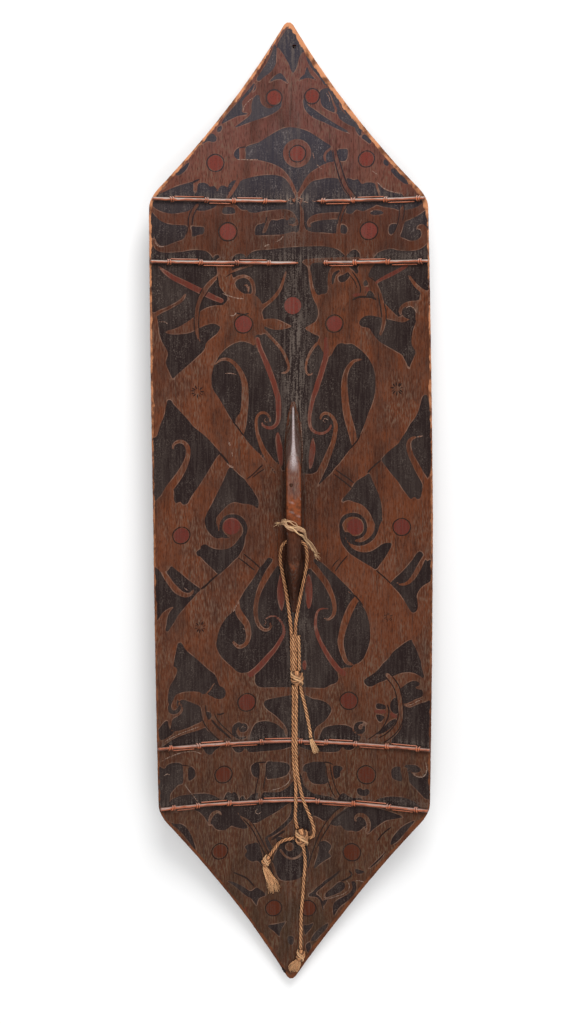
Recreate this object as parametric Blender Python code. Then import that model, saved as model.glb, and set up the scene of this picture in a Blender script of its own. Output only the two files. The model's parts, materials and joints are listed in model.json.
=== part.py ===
"""A carved wooden shield, lying on its outer face with the inner face up.

The board is a long hexagon, bowed across its width, and the grip is carved from the same
plank. Rattan rods lie across the inner face, each held by a rattan strip that snakes over it.
A cord loops through the grip and runs down to the lower tip, with knots, tails and tassels.

X runs across the board, Y from its lower tip to its upper tip, and Z up from the flat of its
keel. Lengths are in millimetres and become metres where meshes and curves are made.
"""

import math

import bmesh
import bpy
from mathutils import Vector

METRES = 0.001
CLEARANCE = 0.4

# Board
BOARD_LENGTH = 1250.0
BOARD_HALF_WIDTH = 178.4
SHOULDER_HALF_WIDTH = 175.5
SHOULDER_ROUNDING = 12.0
UPPER_END_LENGTH = 225.0
LOWER_END_LENGTH = 236.0
UPPER_END_HOLLOW = 9.3
LOWER_END_HOLLOW = 5.5
TIP_HALF_WIDTH = 4.2
TIP_ROUNDING = 3.0
BOW_DEPTH = 55.0
BOW_RIDGE_SHARE = 0.35
VALLEY_SOFTNESS = 0.06
CENTRE_THICKNESS = 13.0
EDGE_THICKNESS = 8.5
KEEL_HALF_WIDTH = 10.0
RIM_BEVEL = 1.5
COLUMNS_PER_SIDE = 8
MIDDLE_ROWS = 8
# Share of the half length, and how far the hand-cut outline leans to +X there.
OUTLINE_LEAN = ((-1.0, -4.5), (-0.86, -0.8), (-0.65, 0.4), (0.0, 0.5), (0.7, -3.6), (1.0, -2.0))
TIP_ROW_SHARES = (0.0, 0.003, 0.012, 0.05, 0.12, 0.24, 0.4, 0.57, 0.75)
SHOULDER_ROW_OFFSETS = (-24.0, -11.0, -3.0, 5.0, 14.0, 34.0)

# Hole near the upper tip, for hanging the shield up
HOLE_DIAMETER = 5.0
HOLE_FROM_TIP = 30.0
HOLE_X = 5.0

# Grip, carved from the board's plank
GRIP_X = 1.5
GRIP_WIDTH = 18.5
GRIP_THICKNESS = 20.0
GRIP_LOWER_Y = -54.0
GRIP_LENGTH = 114.0
GRIP_CHAMFER = 3.0
FINGER_GAP_HEIGHT = 30.0
FINGER_GAP_ROUNDING = 8.0
UPPER_RAMP_LENGTH = 86.0
LOWER_RAMP_LENGTH = 82.0
GRIP_ROOT_DEPTH = 5.0
# Share of the ramp's length, then shares of the grip's height, crest width and base width.
UPPER_RAMP = (
    (0.0, 1.0, 1.0, 1.0),
    (0.12, 0.93, 0.82, 1.05),
    (0.2, 0.85, 0.5, 1.05),
    (0.36, 0.68, 0.24, 1.0),
    (0.6, 0.4, 0.17, 0.75),
    (0.84, 0.14, 0.13, 0.4),
    (1.0, -0.04, 0.1, 0.16),
)
LOWER_RAMP = (
    (0.0, 1.0, 1.0, 1.05),
    (0.13, 0.92, 0.8, 1.2),
    (0.27, 0.79, 0.6, 1.3),
    (0.5, 0.52, 0.34, 0.95),
    (0.78, 0.21, 0.15, 0.42),
    (1.0, -0.04, 0.08, 0.12),
)

# Rattan rods and the strips that hold them
ROD_DIAMETER = 5.0
UPPER_ROD_SPACING = 78.5
LOWER_ROD_SPACING = 79.5
UPPER_ROD_FROM_SHOULDER = 0.5
LOWER_ROD_FROM_SHOULDER = 6.0
ROD_END_MARGIN = 1.0
ROD_RUN_LENGTH = 14.0
STRIP_DIAMETER = 2.2
TIE_ADVANCE = 4.0
TIE_ANGLES = (-18.0, 36.0, 90.0, 144.0, 198.0)
STITCH_STEPS = 3
# Each rod: the binding that it belongs to, how far its right end drops, its two ends and its
# ties as shares of the board's half width, and on which side of it the first stitch lies.
RODS = {
    "upper_1_left": (1, -1.0, (-1.0, -0.035), (-0.85, -0.61, -0.415, -0.19), 1),
    "upper_1_right": (1, -1.0, (0.19, 1.0), (0.235, 0.45, 0.68, 0.905), -1),
    "upper_2_left": (2, -1.0, (-1.0, 0.045), (-0.875, -0.655, -0.395, -0.165), 1),
    "upper_2_right": (2, -1.0, (0.235, 1.0), (0.255, 0.46, 0.695, 0.92), -1),
    "lower_1": (
        3, -3.0, (-1.0, 1.0), (-0.9, -0.7, -0.49, -0.24, 0.055, 0.245, 0.46, 0.69, 0.91), -1,
    ),
    "lower_2": (4, -4.0, (-1.0, 1.0), (-0.885, -0.71, -0.48, -0.25, 0.18, 0.445, 0.7, 0.895), -1),
}

# Cord, its knots and its frayed ends
CORD_DIAMETER = 4.2
CORD_STEP = 2.6
DRAPE_OVER_ROD = 26.0
DRAPE_SLACK = 1.12
# Each route's points: x, y and the height of the cord above where it would lie on the board.
LOOP_ROUTE = (
    (-1.6, -209.5, 0.0), (-1.8, -180, 0.0), (-2.2, -158, 0.3), (-5.0, -133, 0.6), (-8.4, -108, 1.2),
    (-12.2, -86, 3.0), (-15.4, -68, 6.0), (-16.0, -54, 9.0), (-13.2, -43, 12.0), (-7.0, -37.5, 13.5),
    (1.5, -36.5, 13.5), (10.0, -38.0, 13.0), (16.6, -43.5, 11.5), (18.4, -56, 9.0), (17.8, -70, 6.5),
    (14.2, -90, 3.5), (10.4, -108, 1.5), (6.6, -128, 0.6), (3.4, -150, 0.2), (3.0, -180, 0.0),
    (3.2, -209.5, 0.0),
)
BUNDLE_HIGH_ROUTE = ((0.3, -161, 4.2), (0.6, -185, 4.1), (0.8, -209.5, 4.1))
BUNDLE_LOW_ROUTE = ((7.2, -163, 0.4), (7.8, -185, 0.0), (8.0, -209.5, 0.0))
MAIN_LEFT_ROUTE = (
    (0.2, -228.5, 0.0), (0.0, -262, 0.0), (-0.6, -300, 0.0), (0.2, -335, 0.0), (2.2, -358, 0.0),
    (2.6, -385, 0.0), (1.9, -405, 0.0), (4.6, -420.5, 0.6),
)
MAIN_RIGHT_ROUTE = (
    (4.0, -228.5, 2.5), (3.8, -262, 2.5), (3.2, -300, 2.5), (3.9, -335, 2.5), (6.9, -358, 2.4),
    (11.4, -377, 1.0), (16.6, -392, 0.0), (22.4, -407, 0.0), (26.4, -421, 0.0), (24.8, -430.5, 0.4),
    (20.4, -432.8, 0.8),
)
SHORT_TAIL_ROUTE = (
    (9.0, -228.5, 0.0), (11.6, -241, 0.0), (15.2, -256, 0.0), (18.8, -274, 0.0), (21.8, -290, 0.0),
    (22.6, -297.6, 0.0),
)
LEFT_TAIL_ROUTE = (
    (0.2, -433.2, 0.6), (-6.5, -435, 0.0), (-14, -436.6, 0.0), (-21, -441, 0.0), (-27, -449, 0.0),
    (-32.6, -456.4, 0.0),
)
DOWN_TAIL_ROUTE = (
    (12.0, -443.5, 0.6), (13.8, -455, 0.0), (14.6, -468, 0.0), (13.0, -487, 0.0), (11.4, -510, 0.0),
    (9.2, -535, 0.0), (8.6, -560, 0.0), (8.4, -584.2, 0.0),
)
# Each lump: stations of x, y, half width and half height, from one end to the other.
UPPER_KNOT = (
    (4.4, -210, 6.4, 4.4), (4.6, -213, 8.6, 5.6), (5.0, -221, 9.2, 6.0), (5.0, -228, 7.0, 4.6),
)
MIDDLE_KNOT = (
    (8.6, -421, 6.0, 4.6), (10.2, -426, 9.0, 6.0), (10.4, -437, 9.0, 6.0), (11.4, -443, 6.0, 4.4),
)
SMALL_KNOT = (
    (-33.4, -457, 3.6, 3.0), (-35.6, -460, 5.8, 4.4), (-38.4, -465.6, 6.0, 4.4), (-38.6, -469, 3.4, 3.0),
)
LOWER_KNOT = (
    (8.4, -584.8, 3.6, 3.2), (8.6, -588, 6.2, 4.6), (7.6, -595, 6.0, 4.4), (5.8, -598.6, 4.4, 3.2),
)
SHORT_TAIL_FRAY = (
    (22.9, -299.1, 2.4, 2.2), (25.0, -305, 3.2, 1.9), (28.6, -315, 3.4, 1.4), (30.6, -319.6, 2.2, 0.9),
)
SMALL_TASSEL = (
    (-38.6, -469.5, 3.0, 2.4), (-38.6, -472.5, 3.6, 2.4), (-29.0, -494, 7.2, 1.8), (-25.0, -508, 8.0, 1.1),
)
LOWER_TASSEL = (
    (5.2, -599.6, 4.2, 2.6), (3.2, -603.6, 6.0, 2.6), (-1.0, -609.6, 6.4, 2.0), (-0.6, -616.4, 3.4, 1.0),
)
LUMP_SIDES = 10

# Fibre lashing round the grip, with both its ends free
LASHING_Y = -15.0
LASHING_HALF_WIDTH = 5.6
LASHING_HALF_THICKNESS = 1.6
LASHING_SIDES = 8
# From its left end: the side of the grip, how far out from it, along Y, down from the grip's top,
# the direction across the bundle, and its half width as a share of the widest.
LASHING_STATIONS = (
    (-1, 9.5, 2.0, 16.5, (0.2, 1.0, 0.1), 0.23),
    (-1, 4.2, 5.0, 9.5, (0.3, 1.0, 0.0), 0.6),
    (-1, 0.6, 5.2, 2.9, (0.35, 1.0, 0.0), 0.85),
    (-1, -3.6, 3.4, 0.0, (0.4, 1.0, 0.0), 1.0),
    (0, 0.0, -0.4, 0.0, (0.45, 1.0, 0.0), 1.0),
    (1, -3.6, -4.8, 0.0, (0.45, 1.0, 0.0), 1.0),
    (1, 1.2, -8.4, 3.9, (0.45, 1.0, 0.0), 0.95),
    (1, 3.6, -16.5, 16.5, (1.0, 0.8, 0.2), 0.8),
    (1, 9.0, -26.5, 27.5, (1.0, 0.7, 0.2), 0.95),
    (1, 15.0, -36.5, 34.5, (1.0, 0.6, 0.2), 0.8),
    (1, 18.0, -41.5, 37.5, (1.0, 0.6, 0.2), 0.45),
)

COLOURS = {
    "painted_wood": (0.062, 0.043, 0.037),
    "rattan": (0.36, 0.17, 0.075),
    "cord": (0.42, 0.225, 0.11),
    "fibre": (0.62, 0.44, 0.27),
}


def clear_scene():
    for old in list(bpy.data.objects):
        bpy.data.objects.remove(old, do_unlink=True)


def matte(name, roughness=0.75):
    material = bpy.data.materials.new(name)
    material.use_nodes = True
    shader = material.node_tree.nodes["Principled BSDF"]
    shader.inputs["Base Color"].default_value = (*COLOURS[name], 1.0)
    shader.inputs["Roughness"].default_value = roughness
    shader.inputs["Metallic"].default_value = 0.0
    return material


def metres(point):
    return Vector(point) * METRES


def smooth_minimum(a, b, width):
    overlap = max(width - abs(a - b), 0.0) / width
    return min(a, b) - overlap * overlap * width / 4


def end_of(y):
    """The length and hollow of the pointed end that this y belongs to."""
    if y > 0:
        return UPPER_END_LENGTH, UPPER_END_HOLLOW
    return LOWER_END_LENGTH, LOWER_END_HOLLOW


def shoulder_y(side):
    length, _ = end_of(side)
    return side * (BOARD_LENGTH / 2 - length)


def half_width(y):
    """Half the board's width: long sides, hollow slanting ends and a blunt tip."""
    length, hollow = end_of(y)
    from_tip = max(BOARD_LENGTH / 2 - abs(y), 0.0)
    shoulder = BOARD_LENGTH / 2 - length
    side = BOARD_HALF_WIDTH - (BOARD_HALF_WIDTH - SHOULDER_HALF_WIDTH) * (y / shoulder) ** 2
    t = from_tip / length
    end = TIP_HALF_WIDTH + (SHOULDER_HALF_WIDTH - TIP_HALF_WIDTH) * t - 4 * hollow * t * (1 - t)
    width = smooth_minimum(side, end, SHOULDER_ROUNDING)
    if from_tip < TIP_ROUNDING:
        width *= 0.6 + 0.4 * math.sqrt(1 - (1 - from_tip / TIP_ROUNDING) ** 2)
    return width


def lean(y):
    """How far the outline leans to +X at this y, read from OUTLINE_LEAN by straight runs."""
    share = y / (BOARD_LENGTH / 2)
    for (low, low_lean), (high, high_lean) in zip(OUTLINE_LEAN, OUTLINE_LEAN[1:]):
        if share <= high:
            part = max(share - low, 0.0) / (high - low)
            return low_lean + (high_lean - low_lean) * part
    return OUTLINE_LEAN[-1][1]


def bow_height(x):
    """Height of the bowed face over its valley: a soft V and a parabola."""
    u = abs(x) / BOARD_HALF_WIDTH
    softness = VALLEY_SOFTNESS
    ridge = (math.hypot(u, softness) - softness) / (math.hypot(1, softness) - softness)
    return BOW_DEPTH * (BOW_RIDGE_SHARE * ridge + (1 - BOW_RIDGE_SHARE) * u * u)


def inner_z(x):
    return CENTRE_THICKNESS + bow_height(x)


def outer_z(x):
    """The outer face follows the inner one, thinner to the edges, over a flat keel."""
    u = min(abs(x) / BOARD_HALF_WIDTH, 1.0)
    keel_share = KEEL_HALF_WIDTH / BOARD_HALF_WIDTH
    thinned = (CENTRE_THICKNESS - EDGE_THICKNESS) * max(u - keel_share, 0.0)
    return max(bow_height(x) - bow_height(KEEL_HALF_WIDTH) + thinned, 0.0)


def board_section(y):
    """The closed section at this y, as points in X and Z, anticlockwise seen from +Y."""
    half = half_width(y)
    centre = lean(y)
    middle = centre * max(1.0 - half / (3 * KEEL_HALF_WIDTH), 0.0)
    keel = min(KEEL_HALF_WIDTH, 0.45 * half)
    bevel = min(RIM_BEVEL, 0.3 * half)
    faces = {}
    for side in (-1, 1):
        edge = centre + side * half
        start = middle + side * keel
        run = edge - side * bevel - start
        columns = [start + run * i / COLUMNS_PER_SIDE for i in range(COLUMNS_PER_SIDE + 1)]
        inner = [(x, inner_z(x)) for x in columns] + [(edge, inner_z(edge) - bevel)]
        outer = [(x, outer_z(x)) for x in columns] + [(edge, outer_z(edge) + bevel)]
        faces[side] = (inner, outer)
    (inner_left, outer_left), (inner_right, outer_right) = faces[-1], faces[1]
    return inner_left[::-1] + [(middle, inner_z(middle))] + inner_right + outer_right[::-1] + outer_left


def board_rows():
    """The y of each section, close together at the tips and the shoulders."""
    rows = []
    for side in (-1, 1):
        length, _ = end_of(side)
        shoulder = abs(shoulder_y(side))
        rows += [side * (BOARD_LENGTH / 2 - share * length) for share in TIP_ROW_SHARES]
        rows += [side * (shoulder + offset) for offset in SHOULDER_ROW_OFFSETS]
    low = shoulder_y(-1) - SHOULDER_ROW_OFFSETS[0]
    high = shoulder_y(1) + SHOULDER_ROW_OFFSETS[0]
    rows += [low + (high - low) * i / MIDDLE_ROWS for i in range(1, MIDDLE_ROWS)]
    return sorted(rows)


def loft(name, rings, material=None, cap=None):
    """A closed solid through rings of as many points. Each end is one face, or the cap's faces."""
    shape = bmesh.new()
    loops = [[shape.verts.new(metres(point)) for point in ring] for ring in rings]
    for first, second in zip(loops, loops[1:]):
        for i in range(len(first)):
            j = (i + 1) % len(first)
            shape.faces.new((first[i], first[j], second[j], second[i]))
    for ends in cap or [range(len(rings[0]))]:
        shape.faces.new([loops[0][i] for i in ends][::-1])
        shape.faces.new([loops[-1][i] for i in ends])
    bmesh.ops.recalc_face_normals(shape, faces=shape.faces)
    mesh = bpy.data.meshes.new(name)
    shape.to_mesh(mesh)
    shape.free()
    body = bpy.data.objects.new(name, mesh)
    bpy.context.scene.collection.objects.link(body)
    if material:
        mesh.materials.append(material)
    return body


def as_helper(body):
    body.hide_render = True
    body.display_type = "WIRE"
    return body


def boolean(body, other, operation):
    change = body.modifiers.new(other.name, "BOOLEAN")
    change.object = other
    change.operation = operation
    change.solver = "EXACT"


def grip_section(y, height, crest, base):
    """A section across the grip, from its root in the board to its chamfered crest."""
    chamfer = min(GRIP_CHAMFER, 0.4 * crest)
    top = CENTRE_THICKNESS + max(height, 0.5 - GRIP_ROOT_DEPTH)
    root = CENTRE_THICKNESS - GRIP_ROOT_DEPTH
    knee = root + (top - root) * 0.55
    half = [
        (base, root),
        (0.5 * (base + max(base, crest)), root + (top - root) * 0.3),
        (0.45 * base + 0.55 * crest, knee),
        (crest, top - chamfer),
        (crest - chamfer, top),
    ]
    right = [(GRIP_X + x, y, z) for x, z in half]
    left = [(GRIP_X - x, y, z) for x, z in half[::-1]]
    return right + left


def grip_height():
    return FINGER_GAP_HEIGHT + GRIP_THICKNESS


def grip_body():
    """The grip with its two ramps, and the finger gap cut through under it."""
    rings = []
    top_y = GRIP_LOWER_Y + GRIP_LENGTH
    half = GRIP_WIDTH / 2
    for share, height, crest, base in UPPER_RAMP[::-1]:
        y = top_y + share * UPPER_RAMP_LENGTH
        rings.append(grip_section(y, height * grip_height(), crest * half, base * half))
    for share, height, crest, base in LOWER_RAMP:
        y = GRIP_LOWER_Y - share * LOWER_RAMP_LENGTH
        rings.append(grip_section(y, height * grip_height(), crest * half, base * half))
    grip = as_helper(loft("grip_form", rings))
    boolean(grip, finger_gap_cutter(), "DIFFERENCE")
    return grip


def finger_gap_cutter():
    """A slot along X with its two upper corners rounded."""
    low = GRIP_LOWER_Y
    high = GRIP_LOWER_Y + GRIP_LENGTH
    floor = CENTRE_THICKNESS - 2 * GRIP_ROOT_DEPTH
    roof = CENTRE_THICKNESS + FINGER_GAP_HEIGHT
    radius = FINGER_GAP_ROUNDING
    profile = [(low, floor)]
    for centre, first in ((low + radius, 180), (high - radius, 90)):
        for step in range(4):
            angle = math.radians(first - 30 * step)
            profile.append((centre + radius * math.cos(angle), roof - radius + radius * math.sin(angle)))
    profile.append((high, floor))
    reach = 2 * GRIP_WIDTH
    rings = [[(GRIP_X + side * reach, y, z) for y, z in profile] for side in (-1, 1)]
    return as_helper(loft("finger_gap_form", rings))


def hole_cutter():
    y = BOARD_LENGTH / 2 - HOLE_FROM_TIP
    sides = 12
    rings = []
    for z in (-CENTRE_THICKNESS, 2 * CENTRE_THICKNESS):
        angles = [2 * math.pi * i / sides for i in range(sides)]
        radius = HOLE_DIAMETER / 2
        rings.append([(HOLE_X + radius * math.cos(a), y + radius * math.sin(a), z) for a in angles])
    return as_helper(loft("hanging_hole_form", rings))


def board_cap():
    """Faces that close a section of the board, column by column from rim to rim."""
    columns = COLUMNS_PER_SIDE + 2
    faces = [(columns - 1, columns, columns + 1, 3 * columns, 3 * columns + 1)]
    for i in range(columns - 1):
        faces.append((i, i + 1, 4 * columns - i - 1, 4 * columns - i))
        faces.append((columns + 1 + i, columns + 2 + i, 3 * columns - i - 1, 3 * columns - i))
    return faces


def make_board(material):
    rings = [[(x, y, z) for x, z in board_section(y)] for y in board_rows()]
    board = loft("shield_board", rings, material, board_cap())
    boolean(board, grip_body(), "UNION")
    boolean(board, hole_cutter(), "DIFFERENCE")
    return board


def tube(name, points, diameter, resolution, material):
    """A round bar along these points, with flat ends."""
    data = bpy.data.curves.new(name, "CURVE")
    data.dimensions = "3D"
    data.bevel_depth = diameter / 2 * METRES
    data.bevel_resolution = resolution
    data.use_fill_caps = True
    line = data.splines.new("POLY")
    line.points.add(len(points) - 1)
    for spot, point in zip(line.points, points):
        spot.co = (*metres(point), 1.0)
    line.use_smooth = True
    data.materials.append(material)
    body = bpy.data.objects.new(name, data)
    bpy.context.scene.collection.objects.link(body)
    return body


def binding_y(number):
    """The place of binding 1 to 4 along the board, from the top, set from the shoulders."""
    if number <= 2:
        return shoulder_y(1) - UPPER_ROD_FROM_SHOULDER - (number - 1) * UPPER_ROD_SPACING
    return shoulder_y(-1) + LOWER_ROD_FROM_SHOULDER + (4 - number) * LOWER_ROD_SPACING


def rod_axis(x, number, drop):
    """The centre of a rod where it passes this x, and the board's own normal there."""
    step = 1.0
    slope = (inner_z(x + step) - inner_z(x - step)) / (2 * step)
    up = Vector((-slope, 0.0, 1.0)).normalized()
    y = binding_y(number) + drop * x / (2 * BOARD_HALF_WIDTH)
    on_face = Vector((x, y, inner_z(x)))
    return on_face + up * (CLEARANCE + ROD_DIAMETER / 2), up


def rod_span(number, ends):
    """The two ends of a rod in x: a whole end stops just inside the board's edge."""
    y = binding_y(number)
    found = []
    for share in ends:
        reach = lean(y) + math.copysign(half_width(y) - ROD_END_MARGIN, share)
        found.append(reach if abs(share) == 1.0 else share * BOARD_HALF_WIDTH)
    return found


def make_rod(name, number, drop, ends, material):
    start, end = rod_span(number, ends)
    steps = max(round((end - start) / ROD_RUN_LENGTH), 2)
    xs = [start + (end - start) * i / steps for i in range(steps + 1)]
    points = [rod_axis(x, number, drop)[0] for x in xs]
    return tube("rattan_rod_" + name, points, ROD_DIAMETER, 2, material)


def strip_point(x, side_angle, number, drop):
    """A point of the strip round the rod: 0 degrees is above it on the board, 90 on its crest."""
    centre, up = rod_axis(x, number, drop)
    step = math.radians((TIE_ANGLES[1] - TIE_ANGLES[0]) / 2)
    reach = (ROD_DIAMETER / 2 + STRIP_DIAMETER / 2 + CLEARANCE) / math.cos(step)
    angle = math.radians(side_angle)
    return centre + reach * (math.cos(angle) * Vector((0, 1, 0)) + math.sin(angle) * up)


def make_strip(name, number, drop, ends, ties, first_side, material):
    """The strip crosses the rod at each tie and lies beside it between two ties."""
    points = []
    side = first_side
    tie_xs = [share * BOARD_HALF_WIDTH for share in ties]
    for i, x in enumerate(tie_xs):
        angles = TIE_ANGLES[::-1] if side > 0 else TIE_ANGLES
        for k, angle in enumerate(angles):
            advance = TIE_ADVANCE * (k / (len(angles) - 1) - 0.5)
            points.append(strip_point(x + advance, angle, number, drop))
        last = i == len(tie_xs) - 1
        if not last:
            start = x + TIE_ADVANCE / 2
            end = tie_xs[i + 1] - TIE_ADVANCE / 2
            for k in range(1, STITCH_STEPS):
                along = start + (end - start) * k / STITCH_STEPS
                points.append(strip_point(along, angles[-1], number, drop))
        side = -side
    return tube("rattan_strip_" + name, points, STRIP_DIAMETER, 1, material)


def rod_lift(y):
    """How far a cord rises where it crosses the rods: a soft hump over each one."""
    lift = 0.0
    for number in (1, 2, 3, 4):
        away = abs(y - binding_y(number)) / DRAPE_OVER_ROD
        if away < 1.0:
            lift = max(lift, (ROD_DIAMETER + CLEARANCE) * (1 - away * away) ** 2 * DRAPE_SLACK)
    return lift


def smooth_route(route):
    """Points a CORD_STEP of diameters apart on a Catmull-Rom curve through the route."""
    spots = [Vector(p) for p in route]
    spots = [2 * spots[0] - spots[1]] + spots + [2 * spots[-1] - spots[-2]]
    found = [spots[1]]
    for a, b, c, d in zip(spots, spots[1:], spots[2:], spots[3:]):
        steps = max(round((c - b).length / (CORD_STEP * CORD_DIAMETER)), 1)
        for i in range(1, steps + 1):
            t = i / steps
            bend = (2 * a - 5 * b + 4 * c - d) * t**2 + (3 * b - a - 3 * c + d) * t**3
            found.append(0.5 * (2 * b + (c - a) * t + bend))
    return found


def make_cord(name, route, material):
    points = []
    for x, y, height in smooth_route(route):
        rest = inner_z(x) + CLEARANCE + CORD_DIAMETER / 2
        points.append((x, y, rest + max(height, 0.0) + rod_lift(y)))
    return tube(name, points, CORD_DIAMETER, 2, material)


def make_lump(name, stations, material):
    """A rounded lump that lies on the board and follows its slope."""
    spots = [Vector((x, y)) for x, y, _, _ in stations]
    rings = []
    for i, (x, y, half, height) in enumerate(stations):
        along = (spots[min(i + 1, len(spots) - 1)] - spots[max(i - 1, 0)]).normalized()
        across = Vector((-along.y, along.x))
        ring = []
        for k in range(LUMP_SIDES):
            angle = 2 * math.pi * (k + 0.5) / LUMP_SIDES
            spot = Vector((x, y)) + across * half * math.cos(angle)
            lift = height * (1 + math.sin(angle)) + rod_lift(y)
            ring.append((spot.x, spot.y, inner_z(spot.x) + CLEARANCE + lift))
        rings.append(ring)
    lump = loft(name, rings, material)
    lump.data.shade_smooth()
    return lump


def lashing_stations():
    """Centre, direction across and half width of the fibre bundle over the grip, end to end."""
    side = GRIP_WIDTH / 2 + CLEARANCE + LASHING_HALF_THICKNESS
    top = CENTRE_THICKNESS + grip_height() + 2 * CLEARANCE + LASHING_HALF_THICKNESS
    found = []
    for sign, out, along, down, across, share in LASHING_STATIONS:
        centre = (GRIP_X + sign * (side + out), LASHING_Y + along, top - down)
        found.append((centre, across, share * LASHING_HALF_WIDTH))
    return found


def make_lashing(material):
    stations = lashing_stations()
    centres = [Vector(centre) for centre, _, _ in stations]
    rings = []
    for i, (_, across, half) in enumerate(stations):
        along = (centres[min(i + 1, len(centres) - 1)] - centres[max(i - 1, 0)]).normalized()
        sideways = Vector(across)
        sideways = (sideways - along * sideways.dot(along)).normalized()
        up = along.cross(sideways)
        thickness = min(LASHING_HALF_THICKNESS, half)
        ring = []
        for k in range(LASHING_SIDES):
            angle = 2 * math.pi * (k + 0.5) / LASHING_SIDES
            spread = sideways * half * math.cos(angle) + up * thickness * math.sin(angle)
            ring.append(centres[i] + spread)
        rings.append(ring)
    lashing = loft("grip_lashing", rings, material)
    lashing.data.shade_smooth()
    return lashing


def make_bindings(material):
    for name, (number, drop, ends, ties, first_side) in RODS.items():
        make_rod(name, number, drop, ends, material)
        make_strip(name, number, drop, ends, ties, first_side, material)


def make_cords(material):
    for name, route in (
        ("cord_loop", LOOP_ROUTE),
        ("cord_bundle_high", BUNDLE_HIGH_ROUTE),
        ("cord_bundle_low", BUNDLE_LOW_ROUTE),
        ("cord_main_left", MAIN_LEFT_ROUTE),
        ("cord_main_right", MAIN_RIGHT_ROUTE),
        ("cord_short_tail", SHORT_TAIL_ROUTE),
        ("cord_left_tail", LEFT_TAIL_ROUTE),
        ("cord_down_tail", DOWN_TAIL_ROUTE),
    ):
        make_cord(name, route, material)
    for name, stations in (
        ("knot_upper", UPPER_KNOT),
        ("knot_middle", MIDDLE_KNOT),
        ("knot_small", SMALL_KNOT),
        ("knot_lower", LOWER_KNOT),
        ("fray_short_tail", SHORT_TAIL_FRAY),
        ("tassel_small", SMALL_TASSEL),
        ("tassel_lower", LOWER_TASSEL),
    ):
        make_lump(name, stations, material)


def build():
    clear_scene()
    make_board(matte("painted_wood", 0.8))
    make_bindings(matte("rattan", 0.55))
    make_cords(matte("cord", 0.9))
    make_lashing(matte("fibre", 0.9))


build()
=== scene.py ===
"""A carved wooden shield that lies on its outer face, its painted inner face up.

The board is a long hexagon, bowed across its width, and its grip is carved from the same plank.
Black scrollwork with red discs is painted on red-brown wood. Rattan rods lie across it under
rattan strips, and a twisted cord runs from the grip to the lower tip, with knots and tassels.

X runs across the board, Y from its lower tip to its upper tip, and Z up from the flat of its
keel. Lengths are in millimetres and become metres where meshes are made.
"""

import json
import math
import random

import bpy
import numpy as np
from mathutils import Matrix, Vector

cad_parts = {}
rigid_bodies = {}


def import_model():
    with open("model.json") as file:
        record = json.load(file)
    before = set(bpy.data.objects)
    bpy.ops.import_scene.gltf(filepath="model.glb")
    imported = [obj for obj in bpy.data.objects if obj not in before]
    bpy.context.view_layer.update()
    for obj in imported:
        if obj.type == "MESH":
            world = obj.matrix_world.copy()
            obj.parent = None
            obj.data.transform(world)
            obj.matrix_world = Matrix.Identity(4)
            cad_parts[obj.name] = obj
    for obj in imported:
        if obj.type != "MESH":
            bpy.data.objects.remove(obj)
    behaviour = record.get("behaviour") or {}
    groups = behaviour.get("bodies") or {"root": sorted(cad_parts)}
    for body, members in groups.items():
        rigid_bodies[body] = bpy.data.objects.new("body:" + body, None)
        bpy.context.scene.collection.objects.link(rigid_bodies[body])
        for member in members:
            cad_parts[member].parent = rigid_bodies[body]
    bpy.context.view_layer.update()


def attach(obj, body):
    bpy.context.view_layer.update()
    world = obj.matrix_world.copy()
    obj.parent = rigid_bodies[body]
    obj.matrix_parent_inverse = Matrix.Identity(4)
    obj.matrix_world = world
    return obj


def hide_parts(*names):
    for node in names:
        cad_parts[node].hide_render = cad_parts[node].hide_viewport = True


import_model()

METRES = 0.001
CLEARANCE = 0.4

# Camera and image
CAMERA_DISTANCE = 2450.0
CAMERA_TILT = 5.205
CAMERA_ROLL = -0.285
CAMERA_AIM = (-9.1, 1.63, 40.0)
CAMERA_LENS = 66.83
CAMERA_SENSOR = 36.0

# Board
BOARD_LENGTH = 1250.0
BOARD_HALF_WIDTH = 178.4
SHOULDER_HALF_WIDTH = 175.5
SHOULDER_ROUNDING = 12.0
UPPER_END_LENGTH = 225.0
LOWER_END_LENGTH = 236.0
UPPER_END_HOLLOW = 9.3
LOWER_END_HOLLOW = 5.5
TIP_HALF_WIDTH = 4.2
TIP_ROUNDING = 3.0
BOW_DEPTH = 55.0
BOW_RIDGE_SHARE = 0.35
VALLEY_SOFTNESS = 0.06
CENTRE_THICKNESS = 13.0
EDGE_THICKNESS = 8.5
KEEL_HALF_WIDTH = 10.0
RIM_BEVEL = 1.5
OUTLINE_LEAN = ((-1.0, -4.5), (-0.86, -0.8), (-0.65, 0.4), (0.0, 0.5), (0.7, -3.6), (1.0, -2.0))
BOARD_ROWS = 500
INNER_COLUMNS = 140
OUTER_COLUMNS = 22
TOOL_WAVES = 0.18
RIM_UNEVENNESS = 0.21
HOLE_DIAMETER = 5.0
HOLE_SPOT = (5.0, 595.0)
HOLE_SIDES = 20
HOLE_CUT_HEIGHTS = (-10.0, 40.0)

# Grip, carved from the board's plank
GRIP_X = 1.5
GRIP_WIDTH = 18.5
GRIP_THICKNESS = 20.0
GRIP_LOWER_Y = -54.0
GRIP_LENGTH = 114.0
GRIP_CHAMFER = 3.0
FINGER_GAP_HEIGHT = 30.0
FINGER_GAP_ROUNDING = 8.0
UPPER_RAMP_LENGTH = 86.0
LOWER_RAMP_LENGTH = 82.0
GRIP_ROOT_DEPTH = 5.0
GRIP_STEP = 2.5
KNOT_SPOT = (-1.6, 38.0)
KNOT_SPOT_RADIUS = 2.6
KNOT_SPOT_HEIGHT = 0.08
KNOT_SPOT_POINTS = 12
# Where the painted highlight on the crest is seen: places along the grip and half widths.
CREST_HIGHLIGHT = ((50, 3.6), (75, 3.0), (95, 1.7), (140, 1.0))
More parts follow.
